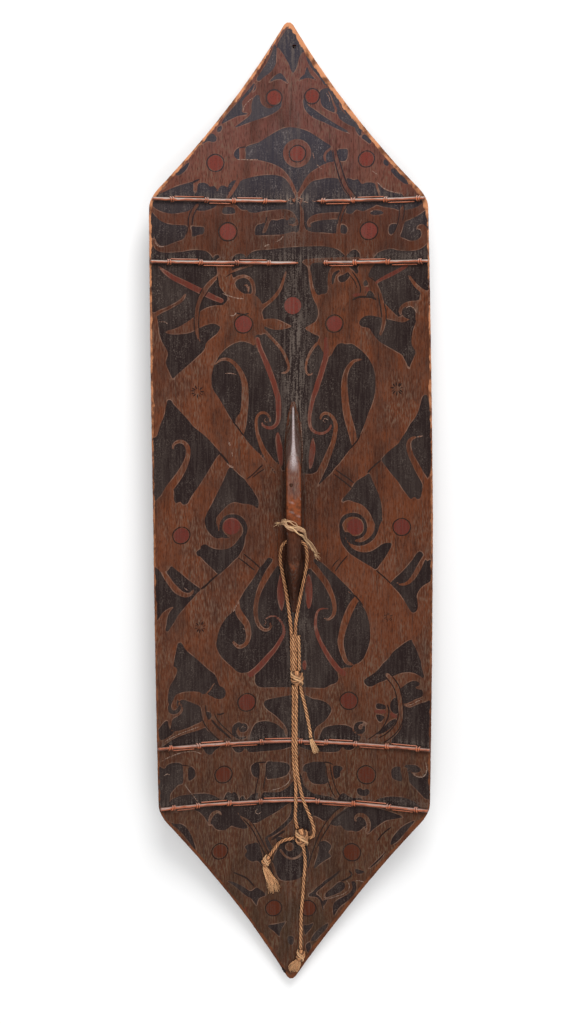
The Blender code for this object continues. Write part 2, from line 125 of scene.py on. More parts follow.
# Share of the ramp's length, then shares of the grip's height, crest width and base width.
UPPER_RAMP = (
    (0.0, 1.0, 1.0, 1.0),
    (0.12, 0.93, 0.82, 1.05),
    (0.2, 0.85, 0.5, 1.05),
    (0.36, 0.68, 0.24, 1.0),
    (0.6, 0.4, 0.17, 0.75),
    (0.84, 0.14, 0.13, 0.4),
    (1.0, -0.04, 0.1, 0.16),
)
LOWER_RAMP = (
    (0.0, 1.0, 1.0, 1.05),
    (0.13, 0.92, 0.8, 1.2),
    (0.27, 0.79, 0.6, 1.3),
    (0.5, 0.52, 0.34, 0.95),
    (0.78, 0.21, 0.15, 0.42),
    (1.0, -0.04, 0.08, 0.12),
)

# Rattan rods and strips
BINDINGS = (1, 2, 3, 4)
ROD_DIAMETER = 5.0
UPPER_ROD_SPACING = 78.5
LOWER_ROD_SPACING = 79.5
UPPER_ROD_FROM_SHOULDER = 0.5
LOWER_ROD_FROM_SHOULDER = 6.0
ROD_END_MARGIN = 1.0
ROD_STEP = 2.5
ROD_SIDES = 14
ROD_UNEVENNESS = 0.05
STRIP_DIAMETER = 2.2
STRIP_GAP = 0.6
STRIP_SUNK = 0.75
BAND_SECTION = ((-1.0, -0.6), (-1.0, 0.2), (-0.55, 0.85), (0.0, 1.0), (0.55, 0.85), (1.0, 0.2), (1.0, -0.6))
TIE_TURNS = ((-1.6, 1.2), (-1.35, 1.35))
TIE_FIRST_ANGLE = -24
TIE_SWEEP = 228
TIE_STEPS = 12
TIE_REACH = 2.4
SIDE_RUN_STEP = 3.0
SIDE_RUN_ANGLES = (-20, 200)
OUTER_TIES_FROM = 45.0
OUTER_TIE_HALF_LENGTH = 4.4
OUTER_TIE_STEPS = 6
# A broken rod's thickness at its last rings, as shares, and how ragged its very end is.
BREAK_SHARES = (0.45, 0.7, 0.85, 0.95)
BREAK_JAG = 1.6
# Each rod: its binding, how far its right end drops, its two ends and its ties as shares of the
# board's half width, and on which side of it the first stitch lies.
RODS = {
    "upper_1_left": (1, -1.0, (-1.0, -0.035), (-0.85, -0.61, -0.415, -0.19), 1),
    "upper_1_right": (1, -1.0, (0.19, 1.0), (0.235, 0.45, 0.68, 0.905), -1),
    "upper_2_left": (2, -1.0, (-1.0, 0.045), (-0.875, -0.655, -0.395, -0.165), 1),
    "upper_2_right": (2, -1.0, (0.235, 1.0), (0.255, 0.46, 0.695, 0.92), -1),
    "lower_1": (
        3, -3.0, (-1.0, 1.0), (-0.9, -0.7, -0.49, -0.24, 0.055, 0.245, 0.46, 0.69, 0.91), -1,
    ),
    "lower_2": (4, -4.0, (-1.0, 1.0), (-0.885, -0.71, -0.48, -0.25, 0.18, 0.445, 0.7, 0.895), -1),
}

# Cord, its knots and its frayed ends
CORD_DIAMETER = 4.2
CORD_PITCH = 17.5
# How much the cords differ: in pitch, in where the first ply starts, and in paleness.
CORD_PITCH_SPREAD = 0.07
CORD_START_STEP = 0.23
CORD_PALE_STEP = 0.08
PLIES = 3
PLY_SIDES = 10
STRAND_OFFSET = 1.16
STRAND_RADIUS = 1.04
STRAND_UNEVENNESS = 0.06
CORD_STEP = 1.3
KNOT_PITCH = 34.0
KNOT_STEPS = 26
CROSSING_STEPS = 30
CORE_STEPS = 11
CORE_SIDES = 8
CORE_RADIUS = 2.4
DRAPE_OVER_ROD = 26.0
DRAPE_SLACK = 1.12
FIBRE_SIDES = 5
FRAY_STEPS = 14
# How far a strand's fibres run in the material for each millimetre, and how far apart strands start.
GRAIN_RUN = 0.05
GRAIN_SHIFT = 50
# Where the painted shade in the groove between plies starts, as a share of the way out, and how soft its
# edge is.
GROOVE_RIM = 0.93
GROOVE_SOFTNESS = 0.2
# Deep enough to reach the middle of any lump.
BEYOND_MIDDLE = 100.0
# Each knot: its turns, the size of its cord, and the slant of its turns.
KNOTS = {
    "knot_upper": (2, 1.3, 0.36),
    "knot_middle": (2, 1.4, 0.42),
    "knot_small": (2, 1.0, 0.3),
    "knot_lower": (2, 1.0, 0.3),
}
# Each frayed end: its fibres, random seed, curl, fibre radius, spread at its end, and paleness.
FRAYS = {
    "fray_short_tail": (60, 5, 0.35, 0.4, 1.6, 1.0),
    "tassel_small": (70, 8, 0.45, 0.46, 1.15, 0.55),
    "tassel_lower": (60, 11, 0.9, 0.46, 1.3, 0.5),
}
# Each route's points: x, y and the height of the cord above where it would lie on the board.
ROUTES = {
    "cord_loop": (
        (-1.6, -209.5, 0.0), (-1.8, -180, 0.0), (-2.2, -158, 0.3), (-5.0, -133, 0.6),
        (-8.4, -108, 1.2), (-12.2, -86, 3.0), (-15.4, -68, 6.0), (-16.0, -54, 9.0),
        (-13.2, -43, 12.0), (-7.0, -37.5, 13.5), (1.5, -36.5, 13.5), (10.0, -38.0, 13.0),
        (16.6, -43.5, 11.5), (18.4, -56, 9.0), (17.8, -70, 6.5), (14.2, -90, 3.5),
        (10.4, -108, 1.5), (6.6, -128, 0.6), (3.4, -150, 0.2), (3.0, -180, 0.0), (3.2, -209.5, 0.0),
    ),
    "cord_bundle_high": ((0.3, -161, 4.2), (0.6, -185, 4.1), (0.8, -209.5, 4.1)),
    "cord_bundle_low": ((7.2, -163, 0.4), (7.8, -185, 0.0), (8.0, -209.5, 0.0)),
    "cord_main_left": (
        (0.2, -228.5, 0.0), (0.0, -262, 0.0), (-0.6, -300, 0.0), (0.2, -335, 0.0),
        (2.2, -358, 0.0), (2.6, -385, 0.0), (1.9, -405, 0.0), (4.6, -420.5, 0.6),
    ),
    "cord_main_right": (
        (4.0, -228.5, 2.5), (3.8, -262, 2.5), (3.2, -300, 2.5), (3.9, -335, 2.5),
        (6.9, -358, 2.4), (11.4, -377, 1.0), (16.6, -392, 0.0), (22.4, -407, 0.0),
        (26.4, -421, 0.0), (24.8, -430.5, 0.4), (20.4, -432.8, 0.8),
    ),
    "cord_short_tail": (
        (9.0, -228.5, 0.0), (11.6, -241, 0.0), (15.2, -256, 0.0), (18.8, -274, 0.0),
        (21.8, -290, 0.0), (22.6, -297.6, 0.0),
    ),
    "cord_left_tail": (
        (0.2, -433.2, 0.6), (-6.5, -435, 0.0), (-14, -436.6, 0.0), (-21, -441, 0.0),
        (-27, -449, 0.0), (-32.6, -456.4, 0.0),
    ),
    "cord_down_tail": (
        (12.0, -443.5, 0.6), (13.8, -455, 0.0), (14.6, -468, 0.0), (13.0, -487, 0.0),
        (11.4, -510, 0.0), (9.2, -535, 0.0), (8.6, -560, 0.0), (8.4, -584.2, 0.0),
    ),
}
# Each lump: stations of x, y, half width and half height, from one end to the other.
LUMPS = {
    "knot_upper": (
        (4.4, -210, 6.4, 4.4), (4.6, -213, 8.6, 5.6), (5.0, -221, 9.2, 6.0), (5.0, -228, 7.0, 4.6),
    ),
    "knot_middle": (
        (8.6, -421, 6.0, 4.6), (10.2, -426, 9.0, 6.0), (10.4, -437, 9.0, 6.0), (11.4, -443, 6.0, 4.4),
    ),
    "knot_small": (
        (-33.4, -457, 3.6, 3.0), (-35.6, -460, 5.8, 4.4), (-38.4, -465.6, 6.0, 4.4),
        (-38.6, -469, 3.4, 3.0),
    ),
    "knot_lower": (
        (8.4, -584.8, 3.6, 3.2), (8.6, -588, 6.2, 4.6), (7.6, -595, 6.0, 4.4), (5.8, -598.6, 4.4, 3.2),
    ),
    "fray_short_tail": (
        (22.9, -299.1, 2.4, 2.2), (25.0, -305, 3.2, 1.9), (28.6, -315, 3.4, 1.4),
        (30.6, -319.6, 2.2, 0.9),
    ),
    "tassel_small": (
        (-38.6, -469.5, 3.0, 2.4), (-38.6, -472.5, 3.6, 2.4), (-29.0, -494, 7.2, 1.8),
        (-25.0, -508, 8.0, 1.1),
    ),
    "tassel_lower": (
        (5.2, -599.6, 4.2, 2.6), (3.2, -603.6, 6.0, 2.6), (-1.0, -609.6, 6.4, 2.0),
        (-0.6, -616.4, 3.4, 1.0),
    ),
}

# Fibre lashing round the grip
LASHING_Y = -15.0
LASHING_HALF_WIDTH = 5.6
LASHING_HALF_THICKNESS = 1.6
LASHING_YARNS = 9
YARN_SIDES = 6
LASHING_HAIRS = 24
HAIR_POINTS = 6
LASHING_STEP = 1.4
# From its left end: the side of the grip, how far out from it, along Y, down from the grip's top,
# the direction across the bundle, its half width as a share of the widest, and whether the yarns
# change places there.
LASHING_STATIONS = (
    (-1, 9.5, 2.0, 16.5, (0.2, 1.0, 0.1), 0.23, False),
    (-1, 4.2, 5.0, 9.5, (0.3, 1.0, 0.0), 0.6, True),
    (-1, 0.6, 5.2, 2.9, (0.35, 1.0, 0.0), 0.85, False),
    (-1, -3.6, 3.4, 0.0, (0.4, 1.0, 0.0), 1.0, True),
    (0, 0.0, -0.4, 0.0, (0.45, 1.0, 0.0), 1.0, False),
    (1, -3.6, -4.8, 0.0, (0.45, 1.0, 0.0), 1.0, True),
    (1, 1.2, -8.4, 3.9, (0.45, 1.0, 0.0), 0.95, False),
    (1, 3.6, -16.5, 16.5, (1.0, 0.8, 0.2), 0.5, False),
    (1, 9.0, -26.5, 27.5, (1.0, 0.7, 0.2), 0.95, True),
    (1, 15.0, -36.5, 34.5, (1.0, 0.6, 0.2), 0.8, False),
    (1, 18.0, -41.5, 37.5, (1.0, 0.6, 0.2), 0.45, False),
)

# Paint, wear and painted light and shade. Each value tells how deep a point lies in its paint, or how
# strong the rest is.
PAINT_REACH = 6.0
UNPAINTED = {
    "ink": -PAINT_REACH, "red": -PAINT_REACH, "leg": -PAINT_REACH, "rim": -PAINT_REACH,
    "dust": 0.0, "pale": 0.0, "soot": 0.0, "orange": 0.0, "stroke": 0.0,
}
LINE_STEP = 3.0
RIBBON_HEIGHT = 0.12
RING_WIDTH = 1.15
RING_POINTS = 25
SUN_RAYS = 11
SUN_RAY_WIDTH = 1.5
SUN_MIDDLE = 0.38
# The bare rim: its widths on the right and on the left, and where along the board it widens.
RIM_UPPER_WIDTHS = (5.5, 3.2)
RIM_LOWER_WIDTHS = (5.0, 3.4)
RIM_MIDDLE_WIDTH = 2.4
RIM_LEFT_WIDTHS = (2.8, 2.2)
RIM_WIDENS_FROM = 370
RIM_WIDENS_OVER = 40
RIM_SIDE_DEPTH = 0.8
SLANTED_FROM = 385
# Places along the board and how dusty its valley is there.
VALLEY_DUST = (
    (-600, 0.05), (-480, 0.15), (-60, 0.35), (60, 0.6), (90, 0.7),
    (230, 0.6), (300, 0.3), (400, 0.15), (560, 0.1), (620, 0.6),
)
VALLEY_DISC = (1.5, 266.5)
VALLEY_DISC_REACH = 13
# The middle of the gap in the first rod.
GAP_SPOT = (5, 402)
# The stub of a tie in the gap of the first binding.
STUB_START = (1.4, 401.8)
STUB_STEP = (0.8, -0.5)
STUB_RADII = (0.9, 1.6, 1.9, 1.8, 1.6, 0.8)
STUB_SIDES = 8
STUB_HEIGHT = 1.4
STUB_ARCH = 0.5
# Depths of the bumps in metres.
WOOD_RELIEF = 0.0003
FIBRE_RELIEF = 0.0006

# Floor and light. Each light: its place in metres, its size and its power.
FLOOR_HALF_SIZE = 6000.0
SURROUNDING_LIGHT = 0.75
LIGHTS = {
    "key": ((0.35, 2.2, 2.2), 1.4, 60.0),
    "fill": ((0.3, -1.2, 2.4), 2.0, 14.0),
}

# Colours, as red, green and blue from 0 to 255
WOOD = (76, 43, 30)
WOOD_ORANGE = (97, 51, 30)
WOOD_DARK = (47, 28, 22)
WOOD_GREY = (102, 80, 66)
WOOD_GREY_LOW = (98, 77, 60)
WOOD_DUSTY = (101, 65, 63)
WOOD_GRIME = (52, 38, 27)
PAINT = (36, 26, 25)
PAINT_BLUE = (52, 48, 54)
PAINT_WORN = (104, 92, 84)
PAINT_WORN_UPPER = (112, 104, 105)
RED = (94, 42, 35)
RED_UPPER = (106, 50, 43)
RED_LOW = (76, 36, 22)
MAROON = (97, 44, 36)
PALE_LINE = (132, 103, 88)
PALE_STROKE = (166, 144, 130)
RIM_UPPER = (192, 130, 92)
RIM_LOWER = (98, 57, 36)
GRIP_ORANGE = (128, 68, 40)
# Painted highlight, and pale flecks of wear, on the grip
GRIP_HIGHLIGHT_AND_WEAR = (176, 164, 164)
# Painted shade, and dark marks
SOOT_AND_SHADE = (36, 24, 20)
CANE_PALE = (168, 149, 140)
CANE_BROWN = (160, 83, 49)
CANE_ORANGE = (188, 96, 52)
CORD = (238, 174, 120)
CORD_SHADE = (136, 84, 50)
CORD_PALE = (226, 188, 142)
# Painted shade between plies
GROOVE_SHADE = (72, 42, 26)
FIBRE = (208, 166, 128)
FIBRE_SHADE = (118, 78, 52)
FLOOR = (243, 243, 243)


def linear(colour):
    """A colour from 0 to 255 as the shader wants it."""
    found = []
    for part in colour:
        share = part / 255
        found.append(share / 12.92 if share <= 0.04045 else ((share + 0.055) / 1.055) ** 2.4)
    return (*found, 1.0)


def make_camera():
    """The camera looks down on the inner face, a little tilted and rolled."""
    tilt = math.radians(CAMERA_TILT)
    roll = math.radians(CAMERA_ROLL)
    aim = Vector(CAMERA_AIM)
    spot = aim + CAMERA_DISTANCE * Vector((0.0, math.sin(tilt), math.cos(tilt)))
    ahead = (aim - spot).normalized()
    right = ahead.cross(Vector((0, 1, 0))).normalized()
    up = right.cross(ahead)
    rolled = right * math.cos(roll) + up * math.sin(roll)
    upward = up * math.cos(roll) - right * math.sin(roll)
    data = bpy.data.cameras.new("camera")
    data.sensor_width = CAMERA_SENSOR
    data.lens = CAMERA_LENS
    camera = bpy.data.objects.new("camera", data)
    turn = Matrix((rolled, upward, -ahead)).transposed()
    camera.matrix_world = Matrix.Translation(spot * METRES) @ turn.to_4x4()
    bpy.context.scene.collection.objects.link(camera)
    bpy.context.scene.camera = camera


# The board's form, for single values and for arrays


def half_width(y):
    """Half the board's width: long sides, hollow slanting ends and a blunt tip."""
    y = np.asarray(y, float)
    length = np.where(y > 0, UPPER_END_LENGTH, LOWER_END_LENGTH)
    hollow = np.where(y > 0, UPPER_END_HOLLOW, LOWER_END_HOLLOW)
    from_tip = np.maximum(BOARD_LENGTH / 2 - np.abs(y), 0.0)
    shoulder = BOARD_LENGTH / 2 - length
    side = BOARD_HALF_WIDTH - (BOARD_HALF_WIDTH - SHOULDER_HALF_WIDTH) * (y / shoulder) ** 2
    t = from_tip / length
    end = TIP_HALF_WIDTH + (SHOULDER_HALF_WIDTH - TIP_HALF_WIDTH) * t - 4 * hollow * t * (1 - t)
    overlap = np.maximum(SHOULDER_ROUNDING - np.abs(side - end), 0.0) / SHOULDER_ROUNDING
    width = np.minimum(side, end) - overlap * overlap * SHOULDER_ROUNDING / 4
    left = np.clip(1 - from_tip / TIP_ROUNDING, 0.0, 1.0)
    return width * (0.6 + 0.4 * np.sqrt(1 - left * left))


def lean(y):
    """How far the board's middle line strays to the right at this place along it."""
    shares, leans = zip(*OUTLINE_LEAN)
    return np.interp(np.asarray(y, float) / (BOARD_LENGTH / 2), shares, leans)


def bow_height(x):
    """Height of the bowed face over its valley: a soft V and a parabola."""
    u = np.abs(x) / BOARD_HALF_WIDTH
    softness = VALLEY_SOFTNESS
    ridge = (np.hypot(u, softness) - softness) / (math.hypot(1, softness) - softness)
    return BOW_DEPTH * (BOW_RIDGE_SHARE * ridge + (1 - BOW_RIDGE_SHARE) * u * u)


def inner_z(x):
    return CENTRE_THICKNESS + bow_height(x)


def outer_z(x):
    """The outer face follows the inner one, thinner to the edges, over a flat keel."""
    u = np.minimum(np.abs(x) / BOARD_HALF_WIDTH, 1.0)
    thinned = (CENTRE_THICKNESS - EDGE_THICKNESS) * np.maximum(u - KEEL_HALF_WIDTH / BOARD_HALF_WIDTH, 0.0)
    return np.maximum(bow_height(x) - bow_height(KEEL_HALF_WIDTH) + thinned, 0.0)


def binding_y(number):
    """The place of binding 1 to 4 along the board, from the top."""
    if number <= 2:
        shoulder = BOARD_LENGTH / 2 - UPPER_END_LENGTH
        return shoulder - UPPER_ROD_FROM_SHOULDER - (number - 1) * UPPER_ROD_SPACING
    shoulder = LOWER_END_LENGTH - BOARD_LENGTH / 2
    return shoulder + LOWER_ROD_FROM_SHOULDER + (4 - number) * LOWER_ROD_SPACING


def wave(t, seed, *lengths):
    """A soft irregular line from -1 to 1: a few sines of these lengths, set by the seed."""
    shift = random.Random(seed)
    total = 0.0
    for length in lengths:
        total = total + np.sin(2 * math.pi * (np.asarray(t, float) / length + shift.random()))
    return total / len(lengths)


def rise(value, start, length):
    """From 0 up to 1 over this length, from the start on."""
    return np.clip((value - start) / length, 0.0, 1.0)


def fall(value, end, length):
    """From 1 down to 0 over this length, up to the end."""
    return np.clip((end - value) / length, 0.0, 1.0)


# Meshes


def make_mesh(name, points, faces, material, smooth=True):
    """An object from points in millimetres and faces as tuples of their numbers."""
    mesh = bpy.data.meshes.new(name)
    mesh.from_pydata((np.asarray(points, float) * METRES).tolist(), [], faces)
    mesh.materials.append(material)
    if smooth:
        mesh.shade_smooth()
    mesh.update()
    body = bpy.data.objects.new(name, mesh)
    bpy.context.scene.collection.objects.link(body)
    return body


def set_values(body, name, values):
    """One number for each point of the mesh, for the material to read."""
    layer = body.data.attributes.new(name, "FLOAT", "POINT")
    layer.data.foreach_set("value", np.asarray(values, np.float32))


def set_vectors(body, name, values):
    layer = body.data.attributes.new(name, "FLOAT_VECTOR", "POINT")
    layer.data.foreach_set("vector", np.asarray(values, np.float32).ravel())


class Shape:
    """Points, faces and values of one piece, gathered from many strands, rings or sheets."""

    def __init__(self):
        self.points = []
        self.faces = []
        self.values = {}

    def add(self, points, faces, **values):
        start = len(self.points)
        self.points.extend(tuple(p) for p in points)
        self.faces.extend(tuple(start + i for i in face) for face in faces)
        for name, value in values.items():
            several = np.broadcast_to(value, (len(points),)) if np.ndim(value) == 0 else value
            self.values.setdefault(name, []).extend(several)

    def make(self, name, material):
        body = make_mesh(name, self.points, self.faces, material)
        for label, found in self.values.items():
            if np.ndim(found) == 2:
                set_vectors(body, label, found)
            else:
                set_values(body, label, found)
        return body

    def make_for_node(self, node, material):
        """The finished piece that stands for this node."""
        body = self.make(node + "_visual", material)
        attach(body, "root")
        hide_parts(node)
        return body


def round_angles(count):
    """Evenly spaced angles round a full turn."""
    return [2 * math.pi * k / count for k in range(count)]


def ring_faces(rings, sides):
    """Faces between rings of points, and one at each end."""
    faces = []
    for r in range(rings - 1):
        for i in range(sides):
            j = (i + 1) % sides
            faces.append((r * sides + i, r * sides + j, (r + 1) * sides + j, (r + 1) * sides + i))
    faces.append(tuple(range(sides))[::-1])
    faces.append(tuple((rings - 1) * sides + i for i in range(sides)))
    return faces


def frames_along(line):
    """Two unit vectors across a line at each of its points, turning with it as little as can be."""
    line = np.asarray(line, float)
    ahead = np.gradient(line, axis=0)
    ahead /= np.linalg.norm(ahead, axis=1)[:, None]
    side = np.cross(ahead[0], (0.0, 0.0, 1.0))
    if np.linalg.norm(side) < 0.1:
        side = np.cross(ahead[0], (0.0, 1.0, 0.0))
    across, up = [], []
    for way in ahead:
        side = side - way * side.dot(way)
        side = side / np.linalg.norm(side)
        across.append(side)
        up.append(np.cross(side, way))
    return np.array(across), np.array(up)


def run_along(line):
    """How far each point of a line lies from its start."""
    return np.concatenate(([0.0], np.cumsum(np.linalg.norm(np.diff(line, axis=0), axis=1))))


def add_tube(shape, line, radii, sides, core=None, reach=1.0, **values):
    """A tube along a line. The material reads its fibres' run, and how far in it lies round a core, for
    painted shade.
    """
    line = np.asarray(line, float)
    radii = np.broadcast_to(radii, (len(line),))
    across, up = frames_along(line)
    run = run_along(line)
    points, grain = [], []
    start = random.Random(len(shape.points)).random() * GRAIN_SHIFT
    for i in range(len(line)):
        for angle in round_angles(sides):
            spread = across[i] * math.cos(angle) + up[i] * math.sin(angle)
            points.append(line[i] + spread * radii[i])
            grain.append((math.cos(angle), math.sin(angle), start + run[i] * GRAIN_RUN))
    groove = 0.0
    if core is not None:
        out = np.array(points).reshape(len(line), sides, 3) - np.asarray(core)[:, None, :]
        share = np.linalg.norm(out, axis=2) / reach
        groove = np.clip((GROOVE_RIM - share) / GROOVE_SOFTNESS, 0.0, 1.0).ravel()
    shape.add(points, ring_faces(len(line), sides), grain=grain, groove=groove, **values)


def curve_point(a, b, c, d, t):
    """The place at a share t from b to c on a smooth curve through four spots in a row."""
    bend = (2 * a - 5 * b + 4 * c - d) * t**2 + (3 * b - a - 3 * c + d) * t**3
    return 0.5 * (2 * b + (c - a) * t + bend)


def smooth_line(spots, step):
    """Points about a step apart on a smooth curve through the spots."""
    spots = np.asarray(spots, float)
    spots = np.concatenate(([2 * spots[0] - spots[1]], spots, [2 * spots[-1] - spots[-2]]))
    found = [spots[1]]
    for a, b, c, d in zip(spots, spots[1:], spots[2:], spots[3:]):
        steps = max(round(float(np.linalg.norm((c - b)[:2])) / step), 1)
        for i in range(1, steps + 1):
            found.append(curve_point(a, b, c, d, i / steps))
    return np.array(found)


# Materials


class Recipe:
    """A material's nodes, built a step at a time."""

    def __init__(self, name, roughness):
        self.material = bpy.data.materials.new(name)
        self.material.use_nodes = True
        self.tree = self.material.node_tree
        self.shader = self.tree.nodes["Principled BSDF"]
        self.shader.inputs["Roughness"].default_value = roughness
        self.place = self.tree.nodes.new("ShaderNodeTexCoord").outputs["Object"]

    def feed(self, socket, value):
        if isinstance(value, bpy.types.NodeSocket):
            self.tree.links.new(value, socket)
        else:
            socket.default_value = value

    def math(self, operation, a, b=0.0, c=0.0):
        node = self.tree.nodes.new("ShaderNodeMath")
        node.operation = operation
        for socket, value in zip(node.inputs, (a, b, c)):
            self.feed(socket, value)
        return node.outputs[0]

    def plus(self, a, b):
        return self.math("ADD", a, b)

    def times(self, a, b):
        return self.math("MULTIPLY", a, b)

    def scaled(self, value, factor, more):
        """The value times the factor, and then some more."""
        return self.math("MULTIPLY_ADD", value, factor, more)

    def step(self, value, low, high, first=0.0, last=1.0):
        """A soft step from first to last as the value goes from low to high."""
        node = self.tree.nodes.new("ShaderNodeMapRange")
        node.interpolation_type = "SMOOTHSTEP"
        names = ("Value", "From Min", "From Max", "To Min", "To Max")
        for name, number in zip(names, (value, low, high, first, last)):
            self.feed(node.inputs[name], number)
        return node.outputs[0]

    def mix(self, share, a, b):
        """A colour from a to b by the share. Each of them is a named colour or a socket."""
        node = self.tree.nodes.new("ShaderNodeMix")
        node.data_type = "RGBA"
        self.feed(node.inputs[0], share)
        for socket, colour in zip(node.inputs[6:8], (a, b)):
            self.feed(socket, linear(colour) if isinstance(colour, tuple) else colour)
        return node.outputs[2]

    def attribute(self, name, output):
        node = self.tree.nodes.new("ShaderNodeAttribute")
        node.attribute_name = name
        return node.outputs[output]

    def value(self, name):
        return self.attribute(name, "Fac")

    def vector(self, name):
        return self.attribute(name, "Vector")

    def noise(self, scale, stretch=(1.0, 1.0, 1.0), detail=2.0, where=None, roughness=0.5):
        """Noise whose marks are 1 / scale metres large, drawn out where stretch is small."""
        mapping = self.tree.nodes.new("ShaderNodeMapping")
        self.feed(mapping.inputs["Vector"], self.place if where is None else where)
        mapping.inputs["Scale"].default_value = [scale * part for part in stretch]
        node = self.tree.nodes.new("ShaderNodeTexNoise")
        node.inputs["Scale"].default_value = 1.0
        node.inputs["Detail"].default_value = detail
        node.inputs["Roughness"].default_value = roughness
        self.feed(node.inputs["Vector"], mapping.outputs[0])
        return node.outputs["Fac"]

    def along_y(self, vector):
        node = self.tree.nodes.new("ShaderNodeSeparateXYZ")
        self.feed(node.inputs[0], vector)
        return node.outputs["Y"]

    def facing_y(self):
        """How far the surface faces the upper tip, from -1 to 1."""
        return self.along_y(self.tree.nodes.new("ShaderNodeNewGeometry").outputs["Normal"])

    def relief(self, height, depth):
        """Bumps of this depth in metres."""
        node = self.tree.nodes.new("ShaderNodeBump")
        node.inputs["Strength"].default_value = 1.0
        node.inputs["Distance"].default_value = depth
        self.feed(node.inputs["Height"], height)
        self.feed(self.shader.inputs["Normal"], node.outputs[0])

    def finish(self, colour, slot):
        self.feed(self.shader.inputs["Base Color"], colour)
        return self.material


def wood_recipe():
    """A recipe with the marks and places that all layers of the painted wood share."""
    r = Recipe("painted_wood", 0.7)
    r.shader.inputs["Specular IOR Level"].default_value = 0.05
    r.streak = r.noise(700, (1.0, 0.2, 1.0), 3.0)
    r.speck = r.noise(640)
    r.grain = r.noise(330, (1.0, 0.05, 1.0), 3.0)
    r.patch = r.noise(62, (1.0, 0.6, 1.0), 3.0)
    r.tone = r.noise(31, (1.0, 0.4, 1.0), 3.0)
    r.height = r.along_y(r.place)
    r.upper = r.step(r.height, 0.3, 0.5)
    r.low = r.step(r.height, -0.05, -0.45)
    r.jitter = r.scaled(r.noise(900, (1.0, 0.5, 1.0)), 0.6, -0.3)
    r.ink = r.value("ink")
    r.edge = r.plus(r.ink, r.jitter)
    return r


def bare_wood(r):
    """Red-brown wood, orange in patches, with dark and grey streaks and grime to the lower tip."""
    blotch = r.noise(13, (1.0, 0.5, 1.0), 3.0)
    orange = r.step(r.scaled(r.patch, 0.5, blotch), 0.58, 0.85)
    orange = r.times(orange, r.step(r.low, 0.0, 1.0, 1.0, 0.35))
    wood = r.mix(orange, WOOD, WOOD_ORANGE)
    wood = r.mix(r.times(r.upper, 0.6), wood, WOOD_DUSTY)
    wood = r.mix(r.step(r.tone, 0.5, 0.72, 0.0, 0.55), wood, WOOD_DARK)
    worn_down = r.plus(r.step(r.tone, 0.55, 0.36, 0.15, 0.75), r.times(r.low, 0.55))
    greyed = r.times(r.step(r.streak, 0.47, 0.66), worn_down)
    wood = r.mix(greyed, wood, r.mix(r.low, WOOD_GREY, WOOD_GREY_LOW))
    wood = r.mix(r.step(r.streak, 0.5, 0.3, 0.0, 0.6), wood, WOOD_DARK)
    wood = r.mix(r.step(r.grain, 0.56, 0.72, 0.0, 0.5), wood, WOOD_DARK)
    tip = r.step(r.height, -0.4, -0.56, 0.0, 0.4)
    grime = r.scaled(r.low, 0.3, r.times(tip, r.step(r.tone, 0.4, 0.6)))
    wood = r.mix(grime, wood, WOOD_GRIME)
    band = r.times(r.step(r.height, 0.3, 0.33), r.step(r.height, 0.405, 0.385, 0.0, 0.4))
    return r.mix(band, wood, WOOD_DARK)


def worn_paint(r):
    """Black paint, bluer to the upper tip, rubbed thin in specks and streaks."""
    paint = r.mix(r.upper, PAINT, PAINT_BLUE)
    rubbed = r.math("MAXIMUM", r.step(r.speck, 0.53, 0.78), r.step(r.streak, 0.56, 0.82))
    rubbed = r.times(rubbed, r.step(r.patch, 0.4, 0.68, 0.05, 1.0))
    rubbed = r.times(rubbed, r.step(r.ink, 0.5, 3.0, 0.3, 1.0))
    rubbed = r.times(rubbed, r.step(r.height, 0.0, 0.4, 0.6, 1.0))
    paint = r.mix(rubbed, paint, r.mix(r.upper, PAINT_WORN, PAINT_WORN_UPPER))
    return r.mix(r.step(r.tone, 0.42, 0.68, 0.0, 0.1), paint, PAINT_WORN)


def painted_layers(r):
    """Black, red and maroon paint on the wood, a pale line round the black that is partly painted
    highlight, and scuffs.
    """
    colour = r.mix(r.step(r.edge, -0.3, 0.3), bare_wood(r), worn_paint(r))
    red = r.mix(r.low, r.mix(r.step(r.height, 0.05, 0.4), RED, RED_UPPER), RED_LOW)
    red = r.mix(r.step(r.speck, 0.46, 0.7, 0.0, 0.45), red, WOOD_DARK)
    colour = r.mix(r.step(r.plus(r.value("red"), r.jitter), -0.3, 0.3), colour, red)
    maroon = r.mix(r.step(r.streak, 0.4, 0.7, 0.0, 0.4), MAROON, WOOD_DARK)
    leg = r.times(r.step(r.plus(r.value("leg"), r.jitter), -0.3, 0.3), 0.75)
    colour = r.mix(leg, colour, maroon)
    # A pale line on the wood beside the black: partly dust in the incised edge, partly painted highlight
    # where the carved edge catches light.
    outline = r.math("SUBTRACT", 1.0, r.step(r.math("ABSOLUTE", r.plus(r.edge, 0.5)), 0.1, 0.8))
    outline = r.times(outline, r.step(r.noise(70), 0.4, 0.7, 0.05, 0.6))
    colour = r.mix(outline, colour, PALE_LINE)
    scuffed = r.plus(r.noise(420, (1.0, 0.07, 1.0), 3.0), r.times(r.speck, 0.6))
    scuffed = r.times(r.value("dust"), r.step(scuffed, 0.72, 0.95))
    return r.mix(scuffed, colour, PAINT_WORN)


def bare_rim(r, colour):
    """Bare pale wood at the rim, with a ragged inner edge."""
    ragged = r.scaled(r.noise(230, (1.0, 0.6, 1.0), 3.0), 5.0, -2.5)
    ragged = r.plus(ragged, r.scaled(r.noise(24), 5.0, -2.6))
    rim = r.step(r.plus(r.value("rim"), ragged), -0.4, 0.5)
    rim_colour = r.mix(r.step(r.height, -0.45, 0.6), RIM_LOWER, RIM_UPPER)
    rim_colour = r.mix(r.step(r.noise(60, detail=3.0), 0.44, 0.64, 0.0, 0.85), rim_colour, WOOD)
    return r.mix(rim, colour, rim_colour)


